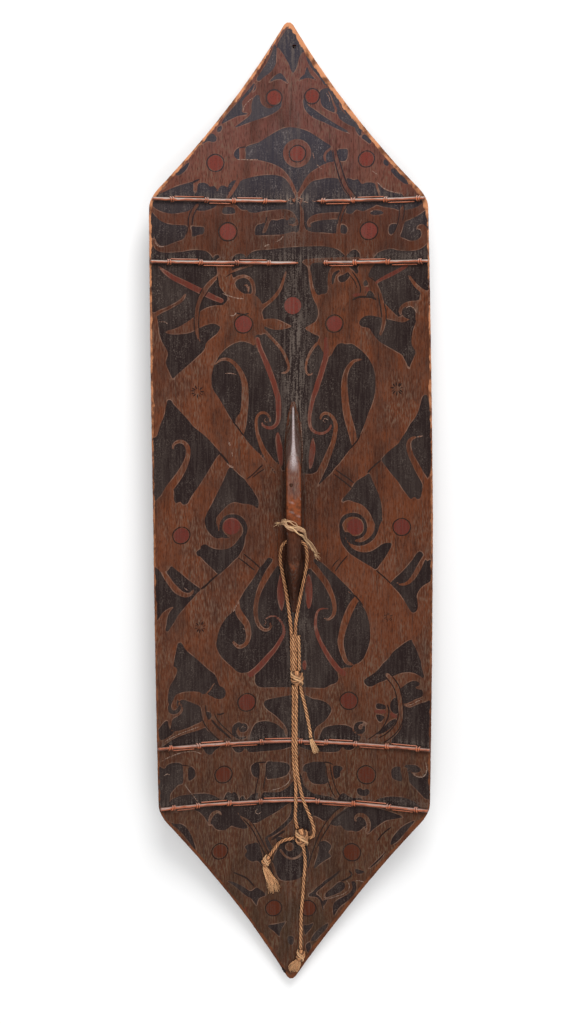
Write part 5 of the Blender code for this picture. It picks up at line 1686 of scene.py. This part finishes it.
    ("black", 52, -336, 57, -335, 62, -336, 65, -339, 61, -343, 61, -349, 58, -351, 54, -353, 52, -345),
    ("black", 7, -347, 11, -352, 13, -362, 19, -369, 27, -374, 40, -376, 50, -378, 54, -384, 8, -385, 6,
     -370),
    ("black", 60, -384, 60, -375, 66, -371.5, 73, -376, 80, -377, 88, -377, 90, -384),
    ("disc", 95, -345, 10.5, 12.15),
    ("black", 83, -364.5, 88, -363.5, 91, -366, 95, -363.5, 99, -366, 98, -371, 91, -374, 84, -371),
    ("black", 127, -337, 131, -332, 138, -331, 139, -338, 141, -345, 140, -350, 133, -349, 128, -346),
    ("wood line", 141, -331, 3, 145, -340, 4, 147, -350, 4, 148, -358, 3, 146, -365, 2),
    ("black", 142, -329, 150, -327, 158, -327, 163, -330, 164, -334, 157, -337, 150, -333),
    ("black", 147, -332, 149, -342, 150, -350, 157, -357, 164, -364, 171, -370, 178, -366, 178, -335, 172,
     -332, 165, -342, 156, -341),
    ("light", 1.2, 155, -338, 158, -341, 165, -342, 170, -338, 172, -330, 170, -322),
    ("black", 106, -384, 109, -377, 116, -374, 125, -371.5, 135, -371, 145, -371.5, 153, -374, 160, -378,
     163, -387),
    # The lower end
    ("black", -160, -388, -135, -387, -125, -390, -119, -396, -115, -402, -111, -410, -108, -408, -106,
     -411, -102, -416, -96, -418, -90, -418, -85, -415, -82, -413, -78, -415, -72, -417, -66, -418.5, -60,
     -417, -55, -412, -50, -412, -45, -410, -34, -404, -26, -400, -18, -395, -10, -389, -6, -384, -80,
     -384),
    ("wood line", -111, -409, 2, -110, -402, 4, -107, -396, 5, -102, -393, 4, -97, -394, 3, -95.5, -398,
     2),
    ("wood line", -74, -396, 1.5, -70, -402, 2, -62, -409, 6, -55, -418, 7),
    ("dark", 1.2, -67, -405, -59, -414, -53, -424, -47, -437, -41, -450, -35, -463, -30, -476, -27, -488),
    ("dark", 1.2, -55, -411, -50, -420, -44, -432, -38, -445, -32, -457, -27, -468),
    ("light", 0.9, -48, -393, -51, -397, -47, -400, -43, -397),
    ("black line", -2, -385, 4, -1, -395, 4.5, -3, -405, 5, -9, -413, 5, -18, -421, 5, -28, -428, 4, -37,
     -432, 2.5),
    ("dark", 2.4, -12, -424, -20, -429, -30, -436),
    ("black", -38, -433, -33, -437, -30, -445, -28, -450, -33, -449, -37, -440),
    ("disc", -97.5, -446, 8.7, 10.4),
    ("black", -65, -443, -61, -440, -55, -439, -50, -438, -46, -441, -44, -448, -42, -456, -41, -463, -42,
     -470, -48, -463, -55, -463.5, -61, -460, -65, -454, -62, -449),
    ("black", -166, -398, -155, -403, -148, -404, -142, -408, -137, -415, -133, -424, -128, -442, -134,
     -434, -140, -425, -148, -414, -157, -405),
    ("dark", 1.6, -80, -476, -72, -480, -62, -486, -53, -497),
    ("black", -24, -432, -22, -440, -20, -445, -25, -455, -28, -465, -25, -475, -22, -485, -18, -490, -10,
     -492, 0, -491, 8, -488, 13, -482, 18, -470, 20, -458, 18, -447, 14, -440, 5, -436, -8, -437, -16,
     -433),
    ("wood line", -18, -450, 3, -12, -458, 3, -4, -462, 3, 5, -460, 3, 12, -453, 3),
    ("wood line", -6, -446, 12, -5.9, -446, 12),
    ("black", 4, -385, 5, -415, 10, -420, 17, -424, 22, -425, 22, -420, 24, -404, 33, -406, 40, -410, 47,
     -406, 55, -398, 63, -392, 72, -387, 40, -386),
    ("black", 63, -396, 70, -391, 78, -388, 105, -388, 118, -390, 130, -393, 142, -397, 130, -401, 120,
     -404, 112, -410, 105, -416, 96, -424, 92, -414, 88, -419, 82, -422, 76, -421, 70, -421.5, 65, -419,
     62, -415, 55, -416, 48, -413, 53, -405),
    ("wood line", 97, -420, 5, 98, -411, 5.5, 95, -403, 6, 89, -399, 5.5, 83, -400, 4, 80.5, -405, 3.5,
     82, -409.5, 2),
    ("wood line", 72, -386, 4, 64, -391, 5, 52, -402, 5, 44, -413, 5),
    ("dark", 1.2, 66, -388, 56, -395, 47, -405, 39, -417, 33, -429, 27, -445, 22, -460, 18, -475),
    ("dark", 1.2, 70, -394, 60, -401, 50, -411, 43, -422, 36, -434, 31, -446),
    ("dark", 1.4, 127, -412, 117, -421, 109, -432),
    ("black", 126, -436, 128, -427, 134, -418, 140, -411, 148, -405, 157, -400, 150, -410, 142, -421, 135,
     -430),
    ("black", 121, -444, 114, -452, 106, -461, 98, -470, 104, -466, 114, -455),
    ("disc", 76, -450, 10.5, 11.65),
    ("black", 33, -440, 38, -437, 44, -438, 49, -443, 48, -448, 45, -452, 49, -457, 44, -461, 38, -465,
     31, -471, 26, -475, 28, -466, 31, -457, 33, -448),
    ("black", 80, -472, 86, -473, 93, -475, 88, -478, 82, -478),
    ("dark", 2.0, 72, -475, 76, -480, 70, -486, 62, -490),
    ("dark", 1.6, 60, -476, 52, -484, 44, -492),
    ("light", 1.0, 80, -488, 86, -487.5, 92, -489),
    ("black", -50, -499, -45, -502, -40, -506, -38, -510, -43, -512, -47, -514, -49, -519, -50, -523, -53,
     -519, -57, -513, -62, -510, -68, -505, -78, -495, -88, -487, -80, -489, -68, -496, -58, -503),
    ("disc", -27.5, -528, 9.7, 10.7),
    ("black", -35, -551, -25, -550, -14, -548, -11, -547, -16, -555, -19, -562, -20, -567, -27, -560, -33,
     -555),
    ("black", -9, -568, -2, -568, -1, -574, -3, -579, -8, -577),
    ("leg", -64.5, -524, 2, -64.5, -534, 2),
    ("black line", 21, -511, 4, 26, -508, 4, 30, -503, 4, 36, -498, 4, 42, -492, 4, 50, -486, 3.5, 57,
     -480, 3),
    ("black line", 21, -511, 4, 30, -512, 3.5, 35, -517, 3, 37, -524, 2.5, 38, -531, 1.5),
    ("black", 38, -518, 43, -516, 45, -514, 42, -520, 40, -524),
    ("black", 41, -509, 44, -505, 50, -500, 55, -495, 60, -491, 66, -492, 67, -498, 63, -503, 55, -508,
     48, -511, 42, -513),
    ("light", 0.9, 38, -512, 44, -515, 55, -511, 65, -507, 72, -500, 72, -492, 69, -489),
    ("black", 75, -490, 80, -489, 82, -496, 80, -505, 74, -512, 68, -518, 60, -525, 55, -533, 52, -538,
     51, -530, 52, -521, 58, -515, 66, -510, 74, -504, 77, -497),
    ("disc", 18, -529, 9.7, 10.7),
    ("black", 12, -553, 18, -552, 25, -549, 22, -556, 17, -562, 14, -565),
    ("black", 45, -548, 38, -552, 30, -559, 24, -567, 22, -573, 28, -572, 35, -564, 42, -556),
    ("black", 15, -580, 20, -575, 22, -582, 18, -590),
    ("sun", -121, 157, 9),
    ("sun", 134, 160, 9),
    ("sun", -120, -147, 8),
    ("sun", 123, -135, 6),
)


def flat_pairs(numbers):
    return np.asarray(numbers, float).reshape(-1, 2)


def closed_curve(spots, steps=4):
    """A smooth closed outline through the spots."""
    a, b = np.roll(spots, 1, axis=0), spots
    c, d = np.roll(spots, -1, axis=0), np.roll(spots, -2, axis=0)
    found = [curve_point(a, b, c, d, i / steps) for i in range(steps)]
    return np.stack(found, axis=1).reshape(-1, 2)


def nearest_share(px, py, ax, ay, bx, by):
    """Which share of the way from a to b lies nearest to each point."""
    ex, ey = bx - ax, by - ay
    length = max(ex * ex + ey * ey, 1e-9)
    return np.clip(((px - ax) * ex + (py - ay) * ey) / length, 0.0, 1.0)


def outline_depth(px, py, outline):
    """How deep each point lies inside a closed outline, negative outside it."""
    nearest = np.full(px.shape, np.inf)
    inside = np.zeros(px.shape, bool)
    for (ax, ay), (bx, by) in zip(outline, np.roll(outline, -1, axis=0)):
        ex, ey = bx - ax, by - ay
        t = nearest_share(px, py, ax, ay, bx, by)
        nearest = np.minimum(nearest, (px - ax - ex * t) ** 2 + (py - ay - ey * t) ** 2)
        if ay != by:
            inside ^= ((ay > py) != (by > py)) & (px < ex * (py - ay) / ey + ax)
    return np.where(inside, 1.0, -1.0) * np.sqrt(nearest)


def line_depth(px, py, line):
    """How deep each point lies inside a line of changing width, given as x, y and width."""
    deepest = np.full(px.shape, -np.inf)
    for (ax, ay, aw), (bx, by, bw) in zip(line, line[1:]):
        t = nearest_share(px, py, ax, ay, bx, by)
        away = np.hypot(px - ax - (bx - ax) * t, py - ay - (by - ay) * t)
        deepest = np.maximum(deepest, (aw + (bw - aw) * t) / 2 - away)
    return deepest


class Paint:
    """Depths of the paint layers at every point of the inner face, in millimetres."""

    def __init__(self, x, y):
        self.x = x
        self.y = y
        self.ink = np.full(x.shape, -PAINT_REACH)
        self.red = np.full(x.shape, -PAINT_REACH)
        self.leg = np.full(x.shape, -PAINT_REACH)
        self.drawn = []

    def near(self, spots, extra=0.0):
        """Which points lie close enough to the spots for their paint to reach."""
        low = spots[:, :2].min(axis=0) - 2 * PAINT_REACH - extra
        high = spots[:, :2].max(axis=0) + 2 * PAINT_REACH + extra
        return (self.x > low[0]) & (self.x < high[0]) & (self.y > low[1]) & (self.y < high[1])

    def apply(self, layer, near, depth, add):
        depth = np.clip(depth, -PAINT_REACH, PAINT_REACH)
        if add:
            layer[near] = np.maximum(layer[near], depth)
        else:
            layer[near] = np.minimum(layer[near], -depth)

    def lay(self, kind, numbers):
        if kind in ("dark", "light"):
            self.drawn.append((kind, numbers[0], flat_pairs(numbers[1:])))
        elif kind == "disc":
            self.disc(*numbers)
        elif kind == "sun":
            self.sun(*numbers)
        elif kind in ("black", "wood", "leaf"):
            spots = closed_curve(flat_pairs(numbers))
            near = self.near(spots)
            self.cover(kind, near, outline_depth(self.x[near], self.y[near], spots))
        else:
            spots = smooth_line(np.asarray(numbers, float).reshape(-1, 3), LINE_STEP)
            near = self.near(spots, spots[:, 2].max() / 2)
            self.cover(kind, near, line_depth(self.x[near], self.y[near], spots))

    def cover(self, kind, near, depth):
        """Black covers the wood. The other kinds leave it bare, and a leaf or a leg is maroon."""
        self.apply(self.ink, near, depth, kind.startswith("black"))
        if kind in ("leaf", "leg"):
            self.apply(self.leg, near, depth, True)
        elif kind.startswith("wood"):
            self.apply(self.leg, near, depth, False)

    def disc(self, x, y, radius, ring):
        """A red disc, and the thin uneven ring drawn round it."""
        near = self.near(np.array(((x - radius, y - radius), (x + radius, y + radius))))
        away = np.hypot(self.x[near] - x, self.y[near] - y)
        self.apply(self.red, near, radius - away, True)
        if ring > 0:
            turn = np.linspace(0, 2 * math.pi, RING_POINTS) + x
            wobble = ring * (1 + 0.02 * np.sin(2 * turn) + 0.012 * np.sin(5 * turn))
            spots = np.stack((x + wobble * np.cos(turn), y + wobble * np.sin(turn)), axis=1)
            self.drawn.append(("dark", RING_WIDTH, spots))

    def sun(self, x, y, radius):
        """A small sun: short rays of uneven length round a bare middle."""
        pick = random.Random(int(x))
        for ray in range(SUN_RAYS):
            angle = 2 * math.pi * (ray + 0.3 * pick.random()) / SUN_RAYS
            start = radius * SUN_MIDDLE
            end = radius * pick.uniform(0.75, 1.05)
            bend = angle + pick.uniform(-0.15, 0.15)
            spots = ((x + start * math.cos(angle), y + start * math.sin(angle)),
                     (x + end * math.cos(bend), y + end * math.sin(bend)))
            self.drawn.append(("dark", SUN_RAY_WIDTH, np.array(spots)))


def face_height(x, y):
    """Height of the inner face, with the slight waves that a carving tool leaves."""
    return inner_z(x) + TOOL_WAVES * wave(x, 3, 23.0, 41.0) * wave(y, 4, 67.0, 113.0)


def make_ribbon(shape, kind, width, spots):
    """A thin drawn line, laid on the face as a narrow strip."""
    dark = kind == "dark"
    line = smooth_line(spots, LINE_STEP)
    ahead = np.gradient(line, axis=0)
    ahead /= np.maximum(np.linalg.norm(ahead, axis=1), 1e-9)[:, None]
    side = np.stack((-ahead[:, 1], ahead[:, 0]), axis=1)
    uneven = 1 + 0.2 * wave(np.arange(len(line)), len(line), 5.0, 11.0)
    wide = width * (0.6 if dark else 0.48) * uneven
    wide[0] *= 0.4
    wide[-1] *= 0.4
    points = []
    for spot, out, half in zip(line, side, wide):
        for sign in (1, -1):
            x, y = spot + out * half * sign
            points.append((x, y, float(face_height(x, y)) + RIBBON_HEIGHT))
    faces = [(2 * i, 2 * i + 1, 2 * i + 3, 2 * i + 2) for i in range(len(line) - 1)]
    # Dark lines are darkened further; those beside the grip's upper ramp are painted shadows.
    look = {"ink": PAINT_REACH, "soot": 0.55} if dark else {"stroke": 0.6}
    shape.add(points, faces, **{**UNPAINTED, **look})


def make_knot_spot(shape):
    """The small dark knot in the top of the grip."""
    height = CENTRE_THICKNESS + FINGER_GAP_HEIGHT + GRIP_THICKNESS + KNOT_SPOT_HEIGHT
    points = []
    for angle in round_angles(KNOT_SPOT_POINTS):
        out = KNOT_SPOT_RADIUS * (1 + 0.12 * math.sin(3 * angle))
        points.append((KNOT_SPOT[0] + out * math.cos(angle), KNOT_SPOT[1] + out * math.sin(angle), height))
    shape.add(points, [tuple(range(KNOT_SPOT_POINTS))], **{**UNPAINTED, "soot": 0.75})


def make_stub(shape):
    """What is left of the first rod's next tie, in the gap where the rod is broken."""
    points = []
    for k, radius in enumerate(STUB_RADII):
        x, y = STUB_START[0] + STUB_STEP[0] * k, STUB_START[1] + STUB_STEP[1] * k
        arch = STUB_ARCH * math.sin(math.pi * k / (len(STUB_RADII) - 1))
        height = float(face_height(x, y)) + STUB_HEIGHT + arch
        for angle in round_angles(STUB_SIDES):
            points.append((x, y + radius * math.cos(angle), height + radius * math.sin(angle)))
    look = {"orange": 1.0, "stroke": 0.25}
    shape.add(points, ring_faces(len(STUB_RADII), STUB_SIDES), **{**UNPAINTED, **look})


def board_surface():
    """The board's rings from tip to tip: inner face, right rim, outer face, left rim."""
    ys = np.linspace(-BOARD_LENGTH / 2, BOARD_LENGTH / 2, BOARD_ROWS + 1)
    half = half_width(ys)
    centre = lean(ys)
    bevels = np.minimum(RIM_BEVEL, 0.3 * half)
    inner_shares = np.linspace(-1, 1, INNER_COLUMNS + 1)
    outer_shares = np.linspace(1, -1, OUTER_COLUMNS + 1)
    worn = RIM_UNEVENNESS * wave(ys, 9, 19.0, 47.0, 7.0)
    points = []
    for i, y in enumerate(ys):
        left = centre[i] - half[i] - worn[i]
        right = centre[i] + half[i] + worn[i]
        bevel = bevels[i]
        first = left + bevel
        span = right - left - 2 * bevel
        inner = [first + span * (share + 1) / 2 for share in inner_shares]
        outer = [first + span * (share + 1) / 2 for share in outer_shares]
        ring = [(x, y, float(z)) for x, z in zip(inner, face_height(np.array(inner), y))]
        ring += rim_side(right, 1, y, bevel)
        ring += [(x, y, float(z)) for x, z in zip(outer, outer_z(np.array(outer)))]
        ring += rim_side(left, -1, y, bevel)[::-1]
        points.append(ring)
    return ys, np.array(points)


def rim_side(edge, sign, y, bevel):
    """The rim's section from its upper bevel to its lower one."""
    top = float(inner_z(edge)) - 0.4 * bevel
    low = float(outer_z(edge)) + 0.4 * bevel
    soft = bevel * 0.35
    return [
        (edge - sign * soft, y, top),
        (edge, y, top - 0.9 * bevel),
        (edge, y, (top + low) / 2),
        (edge, y, low + 0.9 * bevel),
        (edge - sign * soft, y, low),
    ]


def rim_width(x, y):
    """How wide the bare worn rim is, by place: wider on the right of the upper end."""
    right = x > lean(y)
    upper, lower = (np.where(right, *widths) for widths in (RIM_UPPER_WIDTHS, RIM_LOWER_WIDTHS))
    middle = np.where(right, RIM_MIDDLE_WIDTH, np.where(y > -60, *RIM_LEFT_WIDTHS))
    share = rise(np.abs(y), RIM_WIDENS_FROM, RIM_WIDENS_OVER)
    ends = np.where(y > 0, upper, lower)
    return middle + (ends - middle) * share


def rod_shade(x, y):
    """A painted shadow: the dark line on the face just below each rod."""
    shade = np.zeros(x.shape)
    for number, drop, ends, _, _ in RODS.values():
        along = x / BOARD_HALF_WIDTH
        below = y - binding_y(number) - drop * along / 2 + 4.2
        on_rod = (along > ends[0]) & (along < ends[1])
        shade = np.maximum(shade, on_rod * 0.35 * np.exp(-((below / 2.2) ** 2)))
    return shade


def rim_values(x, y):
    """How deep each point of the inner face lies inside the bare rim."""
    width = rim_width(x, y)
    slant = np.where(np.abs(y) > SLANTED_FROM, 0.8, 1.0)
    from_side = width - (half_width(y) - np.abs(x - lean(y))) * slant
    from_tip = width + 1.0 - (BOARD_LENGTH / 2 - np.abs(y)) * 0.8
    return np.maximum(from_side, from_tip)


def dust_values(x, y):
    """Dust along the valley, above the rods and in the gap of the first binding."""
    near_rod = np.min([np.abs(y - binding_y(n) - 5.0) for n in BINDINGS], axis=0)
    by_rods = np.exp(-((near_rod / 5.0) ** 2)) * 0.36
    valley = np.exp(-(((x - 5) / 15.0) ** 2)) * np.interp(y, *zip(*VALLEY_DUST))
    on_disc = np.hypot(x - VALLEY_DISC[0], y - VALLEY_DISC[1]) < VALLEY_DISC_REACH
    valley = np.where(on_disc, valley * 0.3, valley)
    at_break = np.exp(-(((x - GAP_SPOT[0]) / 14) ** 2 + ((y - GAP_SPOT[1]) / 5) ** 2)) * 0.8
    return np.clip(by_rods + valley + at_break + 0.12, 0.0, 1.0)


def painted_shade_values(x, y):
    """Painted shade below the rods and on the face on both sides of the grip."""
    by_grip = np.exp(-(((np.abs(x - GRIP_X) - 11.0) / 4.5) ** 2)) * 0.8
    by_grip = by_grip * fall(y, 105, 30) * rise(y, -125, 30)
    return np.maximum(rod_shade(x, y), by_grip)


def make_board(material):
    """The board with its paint, hole, grip, drawn lines and stub, joined into one mesh."""
    ys, rings = board_surface()
    sides = rings.shape[1]
    flat = rings.reshape(-1, 3)
    inner = np.arange(sides) <= INNER_COLUMNS
    on_face = np.tile(inner, len(ys))
    x, y = flat[on_face, 0], flat[on_face, 1]
    paint = Paint(x, y)
    for kind, *numbers in PAINTING:
        paint.lay(kind, numbers)
    layers = {name: np.full(len(flat), value) for name, value in UNPAINTED.items()}
    on_side = np.zeros(sides, bool)
    on_side[INNER_COLUMNS + 1: INNER_COLUMNS + 6] = True
    on_side[-5:] = True
    layers["rim"][np.tile(on_side, len(ys))] = RIM_SIDE_DEPTH
    found = {"ink": paint.ink, "red": paint.red, "leg": paint.leg, "rim": rim_values(x, y)}
    found["dust"] = dust_values(x, y)
    found["soot"] = painted_shade_values(x, y)
    for name, values in found.items():
        layers[name][on_face] = values
    shape = Shape()
    shape.add(flat, ring_faces(len(ys), sides), **layers)
    board = shape.make("shield_board_visual", material)
    cut_hole(board)
    extras = Shape()
    for kind, width, spots in paint.drawn:
        make_ribbon(extras, kind, width, spots)
    make_knot_spot(extras)
    make_stub(extras)
    join([board, make_grip(material), extras.make("drawn_lines", material)])
    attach(board, "root")
    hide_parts("shield_board")


def apply_modifiers(body):
    """Bakes the object's modifiers into its mesh."""
    graph = bpy.context.evaluated_depsgraph_get()
    mesh = bpy.data.meshes.new_from_object(body.evaluated_get(graph))
    body.modifiers.clear()
    body.data = mesh


def join(bodies):
    """Joins the bodies into the first of them."""
    for body in bpy.context.view_layer.objects.selected:
        body.select_set(False)
    for body in bodies:
        body.select_set(True)
    bpy.context.view_layer.objects.active = bodies[0]
    bpy.ops.object.join()


def cut(body, cutter):
    """Takes the cutter's form out of the body."""
    change = body.modifiers.new("cut", "BOOLEAN")
    change.object = cutter
    change.operation = "DIFFERENCE"
    change.solver = "EXACT"
    apply_modifiers(body)
    bpy.data.objects.remove(cutter, do_unlink=True)


def cut_hole(board):
    """The small round hole near the upper tip, slightly uneven."""
    points = []
    for z in HOLE_CUT_HEIGHTS:
        for angle in round_angles(HOLE_SIDES):
            radius = HOLE_DIAMETER / 2 * (1 + 0.08 * math.sin(3 * angle))
            x, y = HOLE_SPOT[0] + radius * math.cos(angle), HOLE_SPOT[1] + radius * math.sin(angle)
            points.append((x, y, z))
    faces = ring_faces(2, HOLE_SIDES)
    cut(board, make_mesh("hole_form", points, faces, board.data.materials[0], False))


def ramp_value(table, share, column):
    """A ramp's value at a share of its length, on a smooth curve through the table."""
    shares = [row[0] for row in table]
    values = [row[column] for row in table]
    slopes = np.gradient(values, shares)
    i = min(max(int(np.searchsorted(shares, share)) - 1, 0), len(shares) - 2)
    width = shares[i + 1] - shares[i]
    t = (share - shares[i]) / width
    a, b = values[i], values[i + 1]
    rise = (2 * t**3 - 3 * t**2 + 1) * a + (3 * t**2 - 2 * t**3) * b
    return rise + width * ((t**3 - 2 * t**2 + t) * slopes[i] + (t**3 - t**2) * slopes[i + 1])


def grip_ring(y, height, crest, base):
    """A section across the grip: flared foot, flat sides and a rounded crest."""
    top = CENTRE_THICKNESS + max(height, 0.5 - GRIP_ROOT_DEPTH)
    root = CENTRE_THICKNESS - GRIP_ROOT_DEPTH
    foot = float(inner_z(base)) + 0.6
    chamfer = min(GRIP_CHAMFER, 0.6 * crest)
    half = [
        (base + 0.2, root),
        (base + min(2.2, 0.25 * max(top - foot, 0.0)), min(foot, top - 0.2)),
        (base + 0.4, min(foot + 2.0, top - 0.15)),
        (0.7 * base + 0.3 * max(base, crest), root + (top - root) * 0.32),
        (0.45 * base + 0.55 * crest, root + (top - root) * 0.55),
        (0.15 * base + 0.85 * crest, root + (top - root) * 0.78),
        (crest, top - chamfer),
        (crest - 0.3 * chamfer, top - 0.35 * chamfer),
        (crest - 0.75 * chamfer, top - 0.06 * chamfer),
        (crest * 0.15, top),
    ]
    for i in range(1, len(half)):
        x, z = half[i]
        half[i] = (x, max(z, half[i - 1][1] + 0.01))
    right = [(GRIP_X + x, y, z) for x, z in half]
    left = [(GRIP_X - x, y, z) for x, z in half[::-1]]
    return right + left


def ramp_ring(table, share, y):
    """The grip's section where a ramp has run this share of its length."""
    height, crest, base = (ramp_value(table, min(share, 1.0), column) for column in (1, 2, 3))
    half = GRIP_WIDTH / 2
    return grip_ring(y, height * (FINGER_GAP_HEIGHT + GRIP_THICKNESS), crest * half, base * half)


def make_grip(material):
    """The grip with its two ramps, and the finger gap cut through under it."""
    height = FINGER_GAP_HEIGHT + GRIP_THICKNESS
    half = GRIP_WIDTH / 2
    rings = []
    for i in range(round(LOWER_RAMP_LENGTH / GRIP_STEP), 0, -1):
        share = i * GRIP_STEP / LOWER_RAMP_LENGTH
        rings.append(ramp_ring(LOWER_RAMP, share, GRIP_LOWER_Y - share * LOWER_RAMP_LENGTH))
    steps = round(GRIP_LENGTH / GRIP_STEP)
    for i in range(steps + 1):
        belly = 1.0 + 0.03 * math.sin(math.pi * i / steps)
        rings.append(grip_ring(GRIP_LOWER_Y + GRIP_LENGTH * i / steps, height, half * belly, half))
    for i in range(1, round(UPPER_RAMP_LENGTH / GRIP_STEP) + 1):
        share = i * GRIP_STEP / UPPER_RAMP_LENGTH
        rings.append(ramp_ring(UPPER_RAMP, share, GRIP_LOWER_Y + GRIP_LENGTH + share * UPPER_RAMP_LENGTH))
    points = [p for ring in rings for p in ring]
    faces = ring_faces(len(rings), len(rings[0]))
    grip = make_mesh("grip_form", points, faces, material)
    cut(grip, finger_gap_form(material))
    grip.data.set_sharp_from_angle(angle=math.radians(50))
    colour_grip(grip)
    return grip


def finger_gap_form(material):
    """A slot along X with its two upper corners rounded."""
    low = GRIP_LOWER_Y
    high = GRIP_LOWER_Y + GRIP_LENGTH
    floor = CENTRE_THICKNESS - 2 * GRIP_ROOT_DEPTH
    roof = CENTRE_THICKNESS + FINGER_GAP_HEIGHT
    radius = FINGER_GAP_ROUNDING
    profile = [(low, floor)]
    for centre, first in ((low + radius, 180), (high - radius, 90)):
        for step in range(7):
            angle = math.radians(first - 15 * step)
            profile.append((centre + radius * math.cos(angle), roof - radius + radius * math.sin(angle)))
    profile.append((high, floor))
    reach = 2 * GRIP_WIDTH
    points = [(GRIP_X + side * reach, y, z) for side in (-1, 1) for y, z in profile]
    return make_mesh("finger_gap_form", points, ring_faces(2, len(profile)), material, False)


def colour_grip(grip):
    """The grip's marks: a painted highlight on the crest above, orange wear where the hand lies, and dark
    below, partly patina and partly painted shade.
    """
    count = len(grip.data.vertices)
    flat = np.empty(count * 3)
    grip.data.vertices.foreach_get("co", flat)
    x, y, z = (flat.reshape(-1, 3) / METRES).T
    off = np.abs(x - GRIP_X)
    high = rise(z, 56, 5)
    # Painted highlight along the crest of the upper ramp.
    crest_highlight = np.clip((np.interp(y, *zip(*CREST_HIGHLIGHT)) - off) / 1.6 + 0.5, 0.0, 1.0) * (z > 18)
    crest_highlight = crest_highlight * rise(y, 52, 16) * fall(y, 150, 16)
    ragged = y + 4 * np.sin((x - GRIP_X) * 0.55)
    dull = high * rise(ragged, 18, 6) * fall(y, 80, 14) * fall(off, 8.6, 1.5)
    # Painted reflection on the upper ramp's flanks.
    flank = rise(y, 66, 12) * fall(y, 128, 16) * rise(z, 22, 8)
    arris = high * rise(off, 6.6, 1.6) * rise(y, 10, 10) * fall(y, 74, 10)
    held = high * fall(ragged, 26, 8) * rise(y, -30, 12)
    figure = np.exp(-(((y + 69 - off) / 4.0) ** 2)) * np.clip(1.4 - off / 6, 0, 1) * (z > 12)
    # Dark below the lashing, partly patina and partly painted shade on the down-facing lower ramp; painted
    # shade on the flanks, the lower tip and the foot.
    below = fall(y, -8, 16)
    sides = below * rise(off, 3.5, 4) * 0.4 + fall(y, -76, 14) * 0.3
    foot = fall(z, 32, 14) * np.where(y > 60, 0.35, 0.55)
    flecks = 0.32 * held * (np.random.default_rng(6).random(count) < 0.035)
    upper_dust = np.clip(1 - high, 0, 1) * rise(y, 20, 40)
    looks = {name: np.full(count, value) for name, value in UNPAINTED.items()}
    looks["pale"] = np.maximum(crest_highlight * 0.9, np.maximum(dull * 0.08, flank * 0.14)) + flecks
    looks["orange"] = np.maximum(np.maximum(arris * 0.8, held * 0.9), figure)
    looks["soot"] = np.maximum(below * 0.38 + sides, foot) * (1 - 0.8 * figure)
    looks["dust"] = np.maximum(upper_dust, np.minimum(fall(y, -60, 20), 0.45))
    for name, values in looks.items():
        set_values(grip, name, values)


# Floor and light


def make_floor():
    r = Recipe("floor", 0.9)
    half = FLOOR_HALF_SIZE
    points = [(-half, -half, 0.0), (half, -half, 0.0), (half, half, 0.0), (-half, half, 0.0)]
    r.shader.inputs["Base Color"].default_value = linear(FLOOR)
    make_mesh("floor", points, [(0, 1, 2, 3)], r.material, False)


def make_light(name, spot, size, power):
    """A square light in metres and watts that shines on the middle of the board."""
    data = bpy.data.lights.new(name, "AREA")
    data.energy = power
    data.size = size
    light = bpy.data.objects.new(name, data)
    light.rotation_euler = (-Vector(spot)).to_track_quat("-Z", "Y").to_euler()
    light.location = spot
    bpy.context.scene.collection.objects.link(light)


def make_lights():
    """Even light from all round, a key light above the upper tip and a weak fill above the lower."""
    world = bpy.data.worlds.new("studio")
    world.use_nodes = True
    background = world.node_tree.nodes["Background"]
    background.inputs["Color"].default_value = (1.0, 1.0, 1.0, 1.0)
    background.inputs["Strength"].default_value = SURROUNDING_LIGHT
    bpy.context.scene.world = world
    for name, light in LIGHTS.items():
        make_light(name, *light)
    bpy.context.scene.view_settings.view_transform = "Standard"


make_camera()
cord_material = plant_fibre("cord_visual", "cord", CORD, CORD_SHADE)
make_cords(cord_material, make_knots(cord_material))
make_lashing(plant_fibre("fibre_visual", "fibre", FIBRE, FIBRE_SHADE))
make_bindings(rattan())
make_board(painted_wood())
make_floor()
make_lights()
